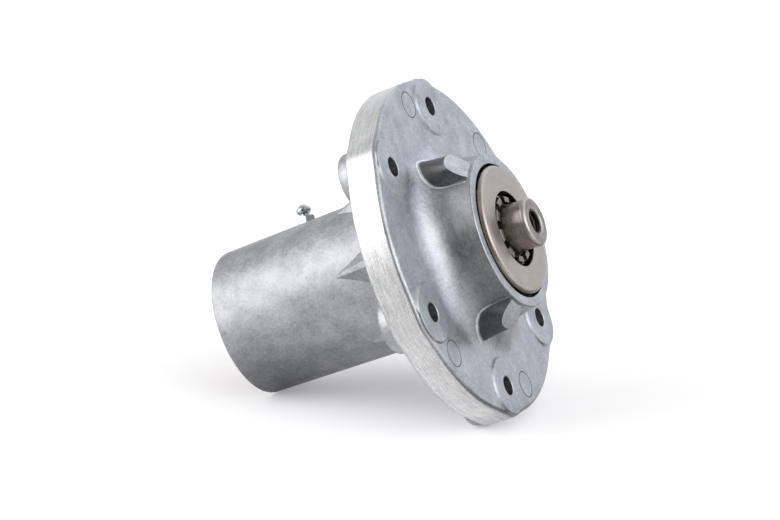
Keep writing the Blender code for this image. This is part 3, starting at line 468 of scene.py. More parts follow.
def rib_loops():
    """One rib: a sloping leaf-shaped crest, hollow flanks and a thin fillet at their foot."""
    stations = []
    nose = RIB_POINTS // 2
    for i in range(RIB_POINTS):
        share = 1.0 - abs(i - nose) / nose
        way = 1.0 if i < nose else -1.0
        crest_r, crest_half = leaf(share, *CREST_LEAF)
        foot_r, foot_half = leaf(share, *FOOT_LEAF)
        crest_z = CREST_NOSE_Z + CREST_SLOPE * (CREST_NOSE - crest_r)
        foot_z = min(boss_height(hypot(foot_r, foot_half)), crest_z - 0.3)
        crest = Vector((crest_r, way * crest_half, crest_z))
        foot = Vector((foot_r, way * foot_half, foot_z))
        skirt = foot + Vector((foot_r - 33.0, way * foot_half, 0.0)).normalized()
        skirt.z = boss_height(hypot(skirt.x, skirt.y)) - 0.03
        wall = []
        for drop, out in RIB_FLARE:
            point = crest.lerp(foot, out)
            point.z = crest_z + (foot_z - crest_z) * drop * FLANK_DROP
            wall.append(point)
        start = wall.pop()
        curve = [start.lerp(foot, k / 4).lerp(foot.lerp(skirt, k / 4), k / 4) for k in range(5)]
        buried = Vector((skirt.x, skirt.y, FACE - 1.0))
        stations.append([tuple(point) for point in wall + curve + [buried]])
    return [[points[level] for points in stations] for level in reversed(range(len(stations[0])))]


def gusset_loop(z):
    """Level section of a gusset: a narrow rounded crest on flanks that spread to the tube."""
    crest_r = tube_edge(GUSSET_TIP_Z) + GUSSET_SLOPE * (z - GUSSET_TIP_Z)
    half = GUSSET_HALF + GUSSET_SPREAD * max(z - GUSSET_TIP_Z, 0.0)
    root_half = half + crest_r - IN_WALL
    loop = [(IN_WALL, root_half), (crest_r - 0.25, half + 0.2), (crest_r, 0.75 * half)]
    return [(x, y, z) for x, y in loop] + [(x, -y, z) for x, y in reversed(loop)]


holes = [(60.0 * i, HOLE_CIRCLE) for i in range(6)]
housing = turned("housing_casting", housing_section(), HOUSING_TURNS)
edge = arc((BACK_ROUND, BACK + BACK_ROUND), BACK_ROUND, 270.0, 180.0, 5)
edge += arc((FACE_ROUND, FACE - FACE_ROUND), FACE_ROUND, 180.0, 90.0, 7)
disc = [circle(IN_WALL, BACK, HOUSING_TURNS)] + [flange_loop(inset, z) for inset, z in edge]
flange_disc = lofted("flange_disc", disc + [circle(IN_WALL, FACE, HOUSING_TURNS)], ring=True)
boss_end = (BOSS_RADIUS - BOSS_ROUND, BOSS_END + BOSS_ROUND)
boss_profile = [(boss_end[0] - 0.2, BOSS_END)] + arc(boss_end, BOSS_ROUND, -80.0, 0.0, 6)
boss_profile += [(11.0, 84.8), (11.2, 85.8), (11.5, 86.8), (11.75, 87.6), (11.8, 88.4)]
screw_bosses = spread("screw_bosses", [circle(r, z, 48) for r, z in boss_profile], holes)
screw_pads = spread("screw_pads", pad_loops(), holes)
gusset_rows = [gusset_loop(z) for z in (GUSSET_TIP_Z - 1.3, BACK + 1.0)]
gussets = spread("gussets", gusset_rows, [(30.0 + 60.0 * i, 0.0) for i in range(6)])
ribs = spread("ribs", rib_loops(), [(RIB_TURN + 120.0 * i, 0.0) for i in range(3)])
# Rows of a rib's faces: one buried, four of the fillet, five of the flank, then the crest
row_finish = [0] + [RIB_FILLET] * 4 + [RIB_FLANK] * 5 + [RIB_CREST]
for face in ribs.data.polygons:
    face.material_index = row_finish[face.index % (RIB_ROWS * RIB_POINTS + 2) // RIB_POINTS]
# Empty slots, so that the joined mesh keeps each face's finish
for _ in range(4):
    housing.data.materials.append(None)
drill = [(0.0, PAD - 20.8), (0.0, PAD - 0.45), (0.1, PAD - 0.2), (0.4, PAD), (0.85, PAD + 0.6)]
drill_loops = [circle(HOLE_RADIUS + wider, z, 40) for wider, z in drill]
screw_holes = spread("screw_holes", drill_loops, holes)
pin_edge, pin_low, pin_high = PIN_RADIUS + PIN_LINE, FACE - PIN_DEPTH, FACE + 0.4
pin_mark = [(PIN_RADIUS, pin_low), (pin_edge, pin_low)]
pin_mark += [(pin_edge, pin_high), (PIN_RADIUS, pin_high)]
pin_places = [(60.0 * i + PIN_TURN, PIN_CIRCLE) for i in range(6) if 60.0 * i != PIN_MISSING]
marks = spread("pin_marks", [circle(r, z, 56) for r, z in pin_mark], pin_places, ring=True)
spot = [(STEM_HOLE, -10.4), (STEM_HOLE, 0.0)]
spot += [(SPOT_RADIUS - 0.15, 0.0), (SPOT_RADIUS, 0.12), (SPOT_RADIUS, 3.0)]
spot_face = turned("spot_face", spot, 48, ring=False)
spot_face.matrix_world = FITTING_PLACE
bpy.context.view_layer.update()
added = [flange_disc, screw_bosses, screw_pads, gussets, ribs]
join_and_cut(housing, added, [screw_holes, marks, spot_face])


def polar_place(tree):
    """Radius and angle round the spindle's axis, and height, as outputs in metres and radians."""
    place = add_node(tree, "TexCoord")
    parts = add_node(tree, "SeparateXYZ", {0: place.outputs["Object"]})
    flat = add_node(tree, "CombineXYZ", {0: parts, 1: parts.outputs[1], 2: 0.0})
    radius = add_node(tree, "VectorMath", {0: flat}, operation="LENGTH")
    angle = add_node(tree, "Math", {0: parts.outputs[1], 1: parts}, operation="ARCTAN2")
    return place.outputs["Object"], radius.outputs["Value"], angle, parts.outputs[2]


def band(tree, value, low, high, soft):
    """One between two heights or radii in millimetres and nought outside them, with soft edges."""
    edges = []
    for limit, below, above in ((low, 0.0, 1.0), (high, 1.0, 0.0)):
        limits = {1: 0.001 * (limit - soft), 2: 0.001 * (limit + soft), 3: below, 4: above}
        edges.append(add_node(tree, "MapRange", {"Value": value, **limits}))
    return add_node(tree, "Math", {0: edges[0], 1: edges[1]}, operation="MULTIPLY")


def cast_aluminium(name, level):
    """Die-cast aluminium, clouded where the metal froze, with fine pits; level scales its tone, for
    lit and shaded copies.
    """
    material, tree = new_tree(name)
    place, radius, angle, height = polar_place(tree)
    # Three clouds, each with the size of a patch in millimetres
    clouds = []
    for patch, detail, rough in ((9, 5.0, 0.62), (1.3, 4.0, 0.7), (0.6, 3.0, 0.6)):
        look = {"Scale": 1000 / patch, "Detail": detail, "Roughness": rough}
        clouds.append(add_node(tree, "TexNoise", {"Vector": place, **look}))
    cloud, mottle, grain = clouds
    crevice_shade, groove_shade = linear("#1d1c1e"), linear("#56565a")
    # Tool marks run round the rim, about three to the millimetre
    streak_place = add_node(tree, "CombineXYZ", {0: height, 1: angle, 2: radius})
    streak_size = add_node(tree, "Mapping", {"Vector": streak_place, "Scale": (2600.0, 9.0, 300.0)})
    streak = add_node(tree, "TexNoise", {"Vector": streak_size, "Scale": 1.0, "Detail": 3.0})
    outer = band(tree, radius, FLANGE_EDGE - 1.4, 90.0, 0.6)
    side_band = band(tree, height, BACK + 0.6, FACE - 1.0, 0.7)
    rim = add_node(tree, "Math", {0: outer, 1: side_band}, operation="MULTIPLY")
    tone = add_node(tree, "Mix", {"Factor": 0.5, "A": cloud, "B": mottle}, data_type="FLOAT")
    skin = add_node(tree, "ValToRGB", {"Fac": tone})
    worked = add_node(tree, "Mix", {"Factor": 0.5, "A": streak, "B": tone}, data_type="FLOAT")
    bright = add_node(tree, "ValToRGB", {"Fac": worked})
    shades = ((skin, 0.62, "#9c9ea2", "#c4c6c9"), (bright, 0.6, "#c6c8ca", "#f3f3f2"))
    for ramp, end, dark, light in shades:
        for stop, position, code in zip(ramp.color_ramp.elements, (0.38, end), (dark, light)):
            stop.position = position
            stop.color = linear(code)
    colour = add_node(tree, "Mix", {0: rim, 6: skin, 7: bright}, data_type="RGBA")
    # Painted shade: the seam between the rim and the bearing's cup is coloured nearly black, for
    # the shade down in the crevice
    seam_ring = band(tree, radius, SEAT - 0.58, SEAT + 1.82, 0.2)
    seam_depth = band(tree, height, RIM - 4.1, RIM - 0.25, 0.1)
    seam = add_node(tree, "Math", {0: seam_ring, 1: seam_depth}, operation="MULTIPLY")
    colour = add_node(tree, "Mix", {0: seam, 6: colour.outputs[2], 7: crevice_shade}, data_type="RGBA")
    # Painted shade: a thin dark line is coloured round the mark of each ejector pin, in its groove;
    # one of the six places has none
    fold = add_node(tree, "Math", {0: angle, 1: radians(PIN_TURN)}, operation="SUBTRACT")
    around = add_node(tree, "Math", {0: fold, 1: pi / 6, 2: -pi / 6}, operation="WRAP")
    over = add_node(tree, "Math", {0: around}, operation="COSINE")
    middle = -0.001 * PIN_CIRCLE
    along = add_node(tree, "Math", {0: radius, 1: over, 2: middle}, operation="MULTIPLY_ADD")
    sideways = add_node(tree, "Math", {0: around, 1: radius}, operation="MULTIPLY")
    from_pin = add_node(tree, "CombineXYZ", {0: along, 1: sideways, 2: 0.0})
    pin_distance = add_node(tree, "VectorMath", {0: from_pin}, operation="LENGTH")
    pin_line = band(tree, pin_distance.outputs["Value"], PIN_RADIUS - 0.08, PIN_RADIUS + 0.32, 0.05)
    on_face = band(tree, height, FACE - 0.4, FACE + 0.3, 0.1)
    without = radians(PIN_TURN + PIN_MISSING - 360.0)
    no_pin = add_node(tree, "Math", {0: angle, 1: without, 2: 0.2}, operation="COMPARE")
    drawn = add_node(tree, "Math", {0: pin_line, 1: on_face}, operation="MULTIPLY")
    pin = add_node(tree, "Math", {0: drawn, 1: no_pin}, operation="SUBTRACT", use_clamp=True)
    colour = add_node(tree, "Mix", {0: pin, 6: colour.outputs[2], 7: groove_shade}, data_type="RGBA")
    pits = add_node(tree, "MapRange", {"Value": grain, 1: 0.28, 2: 0.45, 3: 0.66 * level, 4: level})
    pitted = {0: 1.0, 6: colour.outputs[2], 7: pits}
    worn = add_node(tree, "Mix", pitted, data_type="RGBA", blend_type="MULTIPLY")
    gloss = add_node(tree, "MapRange", {"Value": mottle, 1: 0.3, 2: 0.7, 3: 0.31, 4: 0.45})
    # The mould isn't polished where it forms the tube, so the skin is duller there
    tube_dull = add_node(tree, "MapRange", {"Value": height, 1: 0.083, 2: 0.087, 3: 0.12, 4: 0.0})
    skin_rough = add_node(tree, "Math", {0: gloss, 1: tube_dull}, operation="ADD")
    rough = add_node(tree, "Mix", {"Factor": rim, "A": skin_rough, "B": 0.38}, data_type="FLOAT")
    lines = add_node(tree, "Math", {0: streak, 1: rim}, operation="MULTIPLY")
    sand = add_node(tree, "Math", {0: grain, 1: 0.5, 2: lines}, operation="MULTIPLY_ADD")
    waves = add_node(tree, "Math", {0: mottle, 1: 0.5, 2: sand}, operation="MULTIPLY_ADD")
    relief = add_node(tree, "Bump", {"Strength": 0.6, "Distance": 0.00014, "Height": waves})
    surface = {"Base Color": worn.outputs[2], "Metallic": 1.0, "Roughness": rough}
    shader = add_node(tree, "BsdfPrincipled", {**surface, "Normal": relief})
    add_node(tree, "OutputMaterial", {"Surface": shader})
    return material


# Lit and shaded copies of the casting: painted shade on the ribs' flanks, a painted highlight on
# the fillet at their foot, and painted light on the crest
housing.data.materials[0] = cast_aluminium("cast_aluminium", 1.0)
housing.data.materials[RIB_FLANK] = cast_aluminium("shaded_cast_aluminium", 0.5)
housing.data.materials[RIB_FILLET] = cast_aluminium("highlit_cast_aluminium", 1.65)
housing.data.materials[RIB_CREST] = cast_aluminium("lit_cast_aluminium", 1.18)
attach(housing, "hub")
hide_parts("housing")

# The bearings: two taper roller bearings, thick faces outward. Cups, cones and rollers are
# hardened and ground steel; the cages are pressed from sheet, with a window for each roller.
# The raceways and the rollers' axes all meet at one point on the spindle's axis.
CUP_ANGLE, CONE_ANGLE = radians(24.0), radians(17.0)
ROLLER_TILT = (CUP_ANGLE + CONE_ANGLE) / 2
# Depths are from the cup's thick face, whose lip ends where the raceway starts
LIP_DEPTH, RACE_START = 0.9, 15.5
APEX = RACE_START / tan(CUP_ANGLE) - LIP_DEPTH
CUP_RADIUS, CUP_WIDTH = 26.0, 13.0
CONE_BORE, CONE_NOSE, CONE_LOW, CONE_HIGH = 10.08, 11.23, 2.2, 16.25
CONE_RIB = 1.9
CAGE_SHEET, CAGE_LOW, CAGE_HIGH, CAGE_LIP = 0.9, 0.35, 13.7, 11.0
ROLLERS, ROLLER_START = 10, 14.0
ROLLER_IN, ROLLER_OUT, ROLLER_PLAY = 4.4, 12.2, 0.3
WINDOW_PLAY, WINDOW_ROUND = 0.22, 0.7
NOTCH_HALF, NOTCH_DEPTH, NOTCH_ROUND = 1.75, 2.55, 0.6


def ground_steel(name, dark, light, rough, marks_per_mm, depth, face_tone=1.0, bore=0.0):
    """Steel finished by turning or grinding: fine rings, dull end faces, and painted shade that
    darkens the bore.
    """
    material, tree = new_tree(name)
    place, radius, angle, height = polar_place(tree)
    ring_place = add_node(tree, "CombineXYZ", {0: radius, 1: angle, 2: height})
    size = (1000.0 * marks_per_mm, 1.2, 1000.0 * marks_per_mm)
    ring_size = add_node(tree, "Mapping", {"Vector": ring_place, "Scale": size})
    noise = {"Detail": 4.0, "Roughness": 0.6}
    rings = add_node(tree, "TexNoise", {"Vector": ring_size, "Scale": 1.0, **noise})
    cloud = add_node(tree, "TexNoise", {"Vector": place, "Scale": 1000 / 6, **noise})
    tone = add_node(tree, "Mix", {"Factor": 0.5, "A": rings, "B": cloud}, data_type="FLOAT")
    colour = add_node(tree, "ValToRGB", {"Fac": tone})
    for stop, position, code in zip(colour.color_ramp.elements, (0.35, 0.65), (dark, light)):
        stop.position = position
        stop.color = linear(code)
    facing = add_node(tree, "TexCoord")
    level = add_node(tree, "SeparateXYZ", {0: facing.outputs["Normal"]})
    upright = add_node(tree, "Math", {0: level.outputs[2]}, operation="ABSOLUTE")
    flat = add_node(tree, "MapRange", {"Value": upright, 1: 0.95, 2: 0.995, 3: 0.0, 4: 1.0})
    dull = add_node(tree, "MapRange", {"Value": flat, 1: 0.0, 2: 1.0, 3: 1.0, 4: face_tone})
    # Painted shade: inside the bore's radius the colour is darkened to a fifth
    bore_shade = add_node(tree, "MapRange", {"Value": radius, 1: bore - 0.0003, 2: bore, 3: 0.2, 4: 1.0})
    both = add_node(tree, "Math", {0: dull, 1: bore_shade}, operation="MULTIPLY")
    toned = {0: 1.0, 6: colour, 7: both}
    shown = add_node(tree, "Mix", toned, data_type="RGBA", blend_type="MULTIPLY")
    least, most = rough - 0.05, rough + 0.07
    gloss = add_node(tree, "MapRange", {"Value": cloud, 1: 0.3, 2: 0.7, 3: least, 4: most})
    rough_face = add_node(tree, "Math", {0: flat, 1: 0.18, 2: gloss}, operation="MULTIPLY_ADD")
    relief = add_node(tree, "Bump", {"Strength": 0.35, "Distance": depth, "Height": rings})
    surface = {"Base Color": shown.outputs[2], "Metallic": 1.0, "Roughness": rough_face}
    shader = add_node(tree, "BsdfPrincipled", {**surface, "Normal": relief})
    add_node(tree, "OutputMaterial", {"Surface": shader})
    return material


race_finish = ground_steel("ground_bearing_steel", "#a59b94", "#bbb1aa", 0.26, 4.0, 0.00002)
lip = 0.001 * RACE_START
# Painted shade darkens the cup's lip round its bore
cup_finish = ground_steel("ground_cup_steel", "#a59b94", "#bbb1aa", 0.26, 4.0, 0.00002, bore=lip)
cage_finish = ground_steel("pressed_cage_steel", "#7d7772", "#9a938c", 0.36, 1.5, 0.00003)
# Painted shade: the cones and rollers, deep inside the bearing, get a nearly black steel
shaded_steel_finish = ground_steel("shaded_bearing_steel", "#2f2b28", "#453f3a", 0.4, 2.0, 0.00002)


def race(angle, depth):
    """Radius of a cone from the bearing's apex, at a depth below the cup's face."""
    return (APEX + depth) * tan(angle)


def end_point(depth, angle):
    """Where a line from the apex meets the plane of a roller's end face."""
    reach = (APEX + depth) / cos(ROLLER_TILT) / cos(ROLLER_TILT - angle)
    return reach * sin(angle), reach * cos(angle) - APEX


def roller_size(depth):
    """Radius of a roller where its axis is at a depth below the cup's face."""
    return (APEX + depth) / cos(ROLLER_TILT) * tan(CUP_ANGLE - ROLLER_TILT) - 0.06


def roller_frame(face, way, turn_deg):
    """Place and turn of one roller: its middle, and its axis toward the bearing's apex."""
    depth = (ROLLER_IN + ROLLER_OUT) / 2
    radius = race(ROLLER_TILT, depth)
    turn = radians(turn_deg)
    centre = Vector((radius * cos(turn), radius * sin(turn), face - way * depth)) * 0.001
    inward = -sin(ROLLER_TILT)
    axis = Vector((inward * cos(turn), inward * sin(turn), way * cos(ROLLER_TILT)))
    return centre, axis


def cup_section(face, way):
    """Section of a cup: rounded outer corners, a thick face and the tapered raceway."""
    corners = [(CUP_RADIUS, 0.0, 1.5), (CUP_RADIUS, CUP_WIDTH, 0.6)]
    corners += [(race(CUP_ANGLE, CUP_WIDTH), CUP_WIDTH, 0.15), (RACE_START, LIP_DEPTH, 0.0)]
    corners += [(RACE_START - 0.4, 0.4, 0.1), (RACE_START - 0.15, 0.0, 0.15)]
    return [(r, face - way * d) for r, d in rounded(corners)]


def cone_section(face, way):
    """Section of a cone: bore, thin nose, raceway and the rib that guides the rollers."""
    low = end_point(ROLLER_IN - ROLLER_PLAY, CONE_ANGLE)
    high = end_point(ROLLER_OUT + ROLLER_PLAY, CONE_ANGLE)
    rib_angle = CONE_ANGLE + CONE_RIB * cos(ROLLER_TILT) / (APEX + ROLLER_OUT)
    top = end_point(ROLLER_OUT + ROLLER_PLAY, rib_angle)
    corners = [(CONE_BORE, CONE_LOW, 0.35), (CONE_NOSE, CONE_LOW, 0.25)]
    corners += [(CONE_NOSE, low[1] - 0.4, 0.0), (*low, 0.0), (*high, 0.0)]
    corners += [(*top, 0.1), (top[0], CONE_HIGH, 0.6), (CONE_BORE, CONE_HIGH, 0.6)]
    return [(r, face - way * d) for r, d in rounded(corners)]


def cage_section(face, way):
    """Section of a cage: a cone of sheet that follows the rollers, its small end turned in."""
    half = CAGE_SHEET / 2 / cos(ROLLER_TILT)
    start = race(ROLLER_TILT, CAGE_LOW)
    end = race(ROLLER_TILT, CAGE_HIGH)
    inside = CAGE_LOW + 0.75
    corners = [(CAGE_LIP, inside, 0.2), (CAGE_LIP, CAGE_LOW, 0.25), (start + half, CAGE_LOW, 0.6)]
    corners += [(end + half, CAGE_HIGH, 0.25), (end - half, CAGE_HIGH, 0.25)]
    corners += [(race(ROLLER_TILT, inside) - half, inside, 0.2)]
    return [(r, face - way * d) for r, d in rounded(corners, 3)]


def roller_section():
    """Section of a roller about its own axis: crowned edges and a small dimple in each end."""
    middle_depth = (ROLLER_IN + ROLLER_OUT) / 2
    low = (middle_depth - ROLLER_OUT) / cos(ROLLER_TILT)
    high = (middle_depth - ROLLER_IN) / cos(ROLLER_TILT)
    large = roller_size(ROLLER_OUT)
    small = roller_size(ROLLER_IN)
    corners = [(0.5, low + 0.15, 0.0), (1.0, low, 0.2), (large, low, 0.35), (small, high, 0.35)]
    corners += [(1.0, high, 0.2), (0.5, high - 0.15, 0.0)]
    return rounded(corners, 3)


def window_loops(face, way, turn_deg):
    """The opening that a roller looks out of, square to the cage's sheet."""
    centre, axis = roller_frame(face, way, turn_deg)
    turn = radians(turn_deg)
    level = cos(ROLLER_TILT)
    outward = Vector((level * cos(turn), level * sin(turn), way * sin(ROLLER_TILT)))
    across = axis.cross(outward)
    half_length = (ROLLER_OUT - ROLLER_IN) / 2 / cos(ROLLER_TILT) + ROLLER_PLAY
    narrow = roller_size(ROLLER_IN) + WINDOW_PLAY
    wide = roller_size(ROLLER_OUT) + WINDOW_PLAY
    corners = [(narrow, half_length, WINDOW_ROUND), (-narrow, half_length, WINDOW_ROUND)]
    corners += [(-wide, -half_length, WINDOW_ROUND), (wide, -half_length, WINDOW_ROUND)]
    flat = [centre * 1000 + across * x + axis * y for x, y in rounded(corners, 3)]
    return [[tuple(point + outward * height) for point in flat] for height in (-1.8, 1.8)]


def notch_loops(face, way):
    """The notch between two tabs, ahead of a roller: punched inward, with round corners."""
    corners = [(-NOTCH_HALF, -1.0, 0.0), (-NOTCH_HALF, NOTCH_DEPTH, NOTCH_ROUND)]
    corners += [(NOTCH_HALF, NOTCH_DEPTH, NOTCH_ROUND), (NOTCH_HALF, -1.0, 0.0)]
    return [[(x, y, face - way * depth) for y, depth in rounded(corners)] for x in (10.2, 16.1)]


FRONT_FACE, REAR_FACE = 121.0, 4.66
roller_turns = [360.0 / ROLLERS * i + ROLLER_START for i in range(ROLLERS)]
for prefix, face, way in (("front", FRONT_FACE, 1), ("rear", REAR_FACE, -1)):
    cup = turned(prefix + "_cup_ring", cup_section(face, way), 144, cup_finish)
    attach(cup, "hub")
    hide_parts(prefix + "_cup")
    cone = turned(prefix + "_cone_ring", cone_section(face, way), 112, shaded_steel_finish)
    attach(cone, "spindle")
    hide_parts(prefix + "_cone")
    cage = turned(prefix + "_cage_ring", cage_section(face, way), 120)
    bm = bmesh.new()
    for turn_deg in roller_turns:
        loft(bm, window_loops(face, way, turn_deg))
    windows = make_object("windows", bm)
    notches = spread("notches", notch_loops(face, way), [(turn, 0.0) for turn in roller_turns])
    join_and_cut(cage, [], [windows, notches], cage_finish)
    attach(cage, prefix + "_cage")
    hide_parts(prefix + "_cage")
    for number, turn_deg in enumerate(roller_turns, 1):
        node = "%s_roller_%02d" % (prefix, number)
        roller = turned(node + "_ground", roller_section(), 32, shaded_steel_finish, ring=False)
        centre, axis = roller_frame(face, way, turn_deg)
        tilt = axis.to_track_quat("Z", "X").to_matrix().to_4x4()
        roller.matrix_world = Matrix.Translation(centre) @ tilt
        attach(roller, node)
        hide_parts(node)

# The spindle: a turned steel shaft with a bead at its nose, two ground seats and an M10 thread
# cut into each end. Old oil has left the steel a little brown, and the bores get painted shade.
SHAFT, UNDERCUT, NECK = 10.0, 9.6, 9.55
SHAFT_LOW, SHAFT_HIGH = 0.8, 130.3
NOSE_ROUND, END_ROUND = 1.5, 0.8
THREAD_RADIUS, THREAD_DEPTH, THREAD_PITCH, THREAD_MOUTH = 4.4, 0.62, 1.5, 5.3
BORE_TURNS = 48


def thread_rows(start, end):
    """Loops of a bore with a real helical thread, cut between two heights."""
    rows = []
    count = int(abs(end - start) / THREAD_PITCH * 8)
    for k in range(count + 1):
        z = start + (end - start) * k / count
        fade = min(1.0, k / 8, (count - k) / 8)
        row = []
        for i in range(BORE_TURNS):
            turn = 2 * pi * i / BORE_TURNS
            phase = (z / THREAD_PITCH - i / BORE_TURNS) % 1.0
            tooth = abs(2.0 * phase - 1.0)
            groove = min(max(1.6 * tooth - 0.3, 0.0), 1.0)
            r = THREAD_RADIUS + THREAD_DEPTH * groove * fade
            row.append((r * cos(turn), r * sin(turn), z))
        rows.append(row)
    return rows


def spindle_loops():
    """Loops from the bottom of the nose's bore, over the outside, to the rear bore's bottom."""
    nose = arc((SHAFT - NOSE_ROUND, SHAFT_HIGH - NOSE_ROUND), NOSE_ROUND, 90.0, 0.0, 7)
    nose += [(SHAFT, 128.45), (NECK, 128.1), (NECK, 121.0), (9.9, 119.2)]
    seats = [(SHAFT, 118.4), (SHAFT, 103.75), (UNDERCUT, 103.25), (UNDERCUT, 22.4), (SHAFT, 21.9)]
    end = arc((SHAFT - END_ROUND, SHAFT_LOW + END_ROUND), END_ROUND, 0.0, -90.0, 5)
    outer = [(5.15, 129.85), (5.55, 130.25), (5.65, SHAFT_HIGH)] + nose + seats + end
    outer += [(5.65, SHAFT_LOW), (5.55, 0.85), (5.15, 1.25)]
    loops = [circle(0.4, 95.8, BORE_TURNS), circle(4.3, 98.3, BORE_TURNS)]
    loops += thread_rows(104.0, 129.6)
    loops += [circle(r, z, BORE_TURNS) for r, z in outer]
    loops += thread_rows(1.5, 27.0)
    return loops + [circle(4.3, 32.8, BORE_TURNS), circle(0.4, 35.3, BORE_TURNS)]


tones, mouth = ("#857d77", "#c8c0b9"), 0.001 * THREAD_MOUTH
spindle_finish = ground_steel("turned_spindle_steel", *tones, 0.3, 3.0, 0.00003, 0.7, mouth)
spindle = lofted("spindle_shaft", spindle_loops(), spindle_finish)
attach(spindle, "spindle")
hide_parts("spindle")

# The spacer sleeve: a length of drawn steel tube between the two cones, cut off square. It
# carries the clamping load from one cone to the other.
sleeve_finish = ground_steel("drawn_sleeve_steel", "#6f6c69", "#8b8885", 0.42, 2.0, 0.00003)
SLEEVE_RADIUS, SLEEVE_LOW, SLEEVE_HIGH = 13.08, 21.21, 104.45
corners = [(CONE_BORE, SLEEVE_LOW, 0.3), (SLEEVE_RADIUS, SLEEVE_LOW, 0.5)]
corners += [(SLEEVE_RADIUS, SLEEVE_HIGH, 0.5), (CONE_BORE, SLEEVE_HIGH, 0.3)]
sleeve = turned("sleeve_tube", rounded(corners, 3), 80, sleeve_finish)
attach(sleeve, "spindle")
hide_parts("spacer_sleeve")

# The retaining ring: stamped from spring steel and blued, sprung into its groove in the tube's
# end with pliers through its two eyes.
RING_LOW, RING_HIGH, RING_BEVEL = 2.38, 4.28, 0.12
RING_EDGE, RING_NARROW, RING_GROWTH = 27.45, 1.9, 1.1
RING_GAP = 10.0
LUG_RADIUS, EYE_RADIUS = 2.6, 1.0
# The ring's levels and how far its edges are drawn in there
RING_LEVELS = (
    (RING_LOW, RING_BEVEL),
    (RING_LOW + RING_BEVEL, 0.0),
    (RING_HIGH - RING_BEVEL, 0.0),
    (RING_HIGH, RING_BEVEL),
)
ring_finish = ground_steel("blued_spring_steel", "#26272c", "#3a3c42", 0.32, 2.0, 0.00002)


def ring_loops():
    """The open ring, wider at its back than at its ends, with slightly rounded edges."""
    loops = []
    sweep = [radians(RING_GAP + (360.0 - 2 * RING_GAP) * i / 120) for i in range(121)]
    for z, inset in RING_LEVELS:
        outer = [((RING_EDGE - inset) * cos(t), (RING_EDGE - inset) * sin(t), z) for t in sweep]
        inner = []
        for t in reversed(sweep):
            width = RING_NARROW + RING_GROWTH * (1.0 - cos(t)) / 2
            radius = RING_EDGE - width + inset
            inner.append((radius * cos(t), radius * sin(t), z))
        loops.append(outer + inner)
    return loops


lug_r = RING_EDGE - RING_NARROW - 0.4 * LUG_RADIUS
lug_turn = RING_GAP + degrees(atan(LUG_RADIUS / lug_r))
lug_places = [(lug_turn, lug_r), (-lug_turn, lug_r)]
retaining = lofted("sprung_ring", ring_loops())
lugs = spread("lugs", [circle(LUG_RADIUS - inset, z, 32) for z, inset in RING_LEVELS], lug_places)
eye_loops = [circle(EYE_RADIUS, z, 24) for z in (RING_LOW - 1.0, RING_HIGH + 1.0)]
eyes = spread("eyes", eye_loops, lug_places)
join_and_cut(retaining, [lugs], [eyes], ring_finish)
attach(retaining, "hub")
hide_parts("rear_retaining_ring")

# The grease fitting: free-cutting steel, turned, with a hexagon to drive it, zinc plated
# bright. It is screwed into the spot face on the tube, and its head takes a grease gun.
STEM, GREASE_BORE, NIPPLE_MOUTH = 2.9, 1.2, 0.7
HEXAGON_HALF, HEXAGON_LOW, HEXAGON_HIGH = 3.45, 0.3, 3.3
FITTING_TURNS = 72


def zinc_plate():
    """Bright zinc plate: nearly a mirror, faintly blue, with a slight cloud where it has dulled."""
    material, tree = new_tree("zinc_plated_steel")
    place = add_node(tree, "TexCoord").outputs["Object"]
    cloud = add_node(tree, "TexNoise", {"Vector": place, "Scale": 1000 / 1.2, "Detail": 4.0})
    colour = add_node(tree, "ValToRGB", {"Fac": cloud})
    for stop, position, code in zip(colour.color_ramp.elements, (0.3, 0.7), ("#aeb8bb", "#ccd3d5")):
        stop.position = position
        stop.color = linear(code)
    gloss = add_node(tree, "MapRange", {"Value": cloud, 1: 0.3, 2: 0.7, 3: 0.12, 4: 0.24})
    relief = add_node(tree, "Bump", {"Strength": 0.2, "Distance": 0.00002, "Height": cloud})
    surface = {"Base Color": colour, "Metallic": 1.0, "Roughness": gloss}
    shader = add_node(tree, "BsdfPrincipled", {**surface, "Normal": relief})
    add_node(tree, "OutputMaterial", {"Surface": shader})
    return material


def fitting_section():
    """Section of the turned body: stem, neck, the grease nipple's head and the bore."""
    stem = [(0.75, -6.0), (STEM - 0.4, -6.0), (STEM, -5.5), (STEM, 0.3), (STEM, 0.5)]
    head = [(1.95, 3.3), (1.95, 4.2)] + arc((1.65, 5.8), 1.5, -62.0, 58.0, 12)
    mouth = [(1.5, 7.85), (1.3, 8.0), (0.85, 8.0), (NIPPLE_MOUTH, 7.88), (NIPPLE_MOUTH, 7.1)]
    return stem + head + mouth + [(GREASE_BORE, 6.3), (GREASE_BORE, -5.4), (0.75, -5.6)]


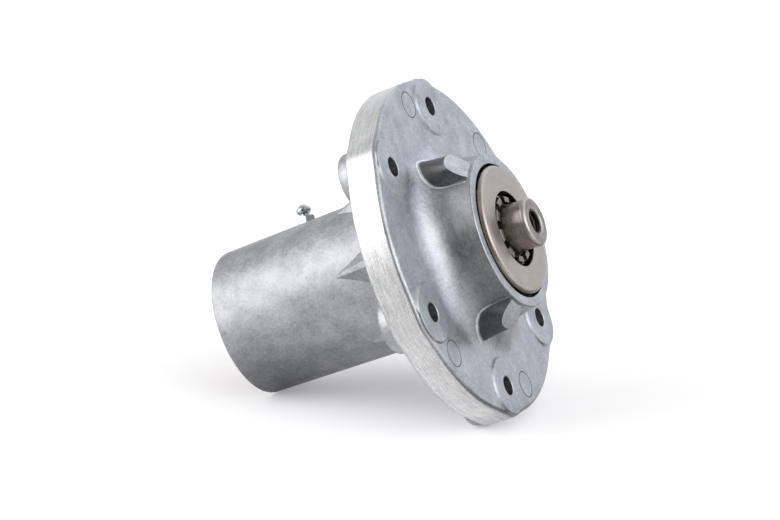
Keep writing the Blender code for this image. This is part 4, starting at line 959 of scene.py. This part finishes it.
def hexagon_loops():
    """The hexagon, its corners turned to a cone above and below."""
    loops = []
    cones = ((HEXAGON_LOW, 3.75), (0.62, 4.1), (2.72, 4.1), (3.0, 3.75), (HEXAGON_HIGH, 3.3))
    for z, limit in cones:
        loop = []
        for i in range(FITTING_TURNS):
            turn = 2 * pi * i / FITTING_TURNS
            radius = min(HEXAGON_HALF / cos(pi / 6 - abs(from_sixth(turn))), limit)
            loop.append((radius * cos(turn), radius * sin(turn), z))
        loops.append(loop)
    return loops + [circle(1.8, z, FITTING_TURNS) for z in (HEXAGON_HIGH, HEXAGON_LOW)]


fitting = turned("fitting_body", fitting_section(), FITTING_TURNS)
hexagon = lofted("hexagon", hexagon_loops(), ring=True)
join_and_cut(fitting, [hexagon], [], zinc_plate())
fitting.matrix_world = FITTING_PLACE
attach(fitting, "hub")
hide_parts("grease_fitting")

# The check ball: a ground steel ball that closes the fitting's mouth. The grease gun pushes it
# back against its spring.
BALL_RADIUS = 0.0011
ball_low, ball_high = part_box("check_ball")
bm = bmesh.new()
bmesh.ops.create_uvsphere(bm, u_segments=32, v_segments=20, radius=BALL_RADIUS)
ball = make_object("ground_ball", bm, race_finish)
ball.location = (ball_low + ball_high) / 2
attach(ball, "check_ball")
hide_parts("check_ball")

# The spring: fine steel wire, coiled in the fitting's bore behind the ball. It presses the ball
# into the mouth.
WIRE_RADIUS, COIL_RADIUS, COIL_END = 0.00015, 0.00089, 0.00017
COILS = 5
spring_low, spring_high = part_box("fitting_spring")
wire = bpy.data.curves.new("wire_spring", "CURVE")
wire.dimensions = "3D"
wire.bevel_depth = WIRE_RADIUS
wire.bevel_resolution = 2
wire.use_fill_caps = True
coil = wire.splines.new("POLY")
coil_points = 24 * COILS
coil.points.add(coil_points)
start_x, end_x = spring_high.x - COIL_END, spring_low.x + COIL_END
for i in range(coil_points + 1):
    turn = 2 * pi * COILS * i / coil_points
    x = start_x + (end_x - start_x) * i / coil_points
    coil.points[i].co = (x, COIL_RADIUS * sin(turn), FITTING_Z - COIL_RADIUS * cos(turn), 1.0)
wire.materials.append(race_finish)
spring = bpy.data.objects.new("wire_spring", wire)
bpy.context.scene.collection.objects.link(spring)
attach(spring, "hub")
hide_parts("fitting_spring")

bpy.context.scene.view_settings.view_transform = "Standard"
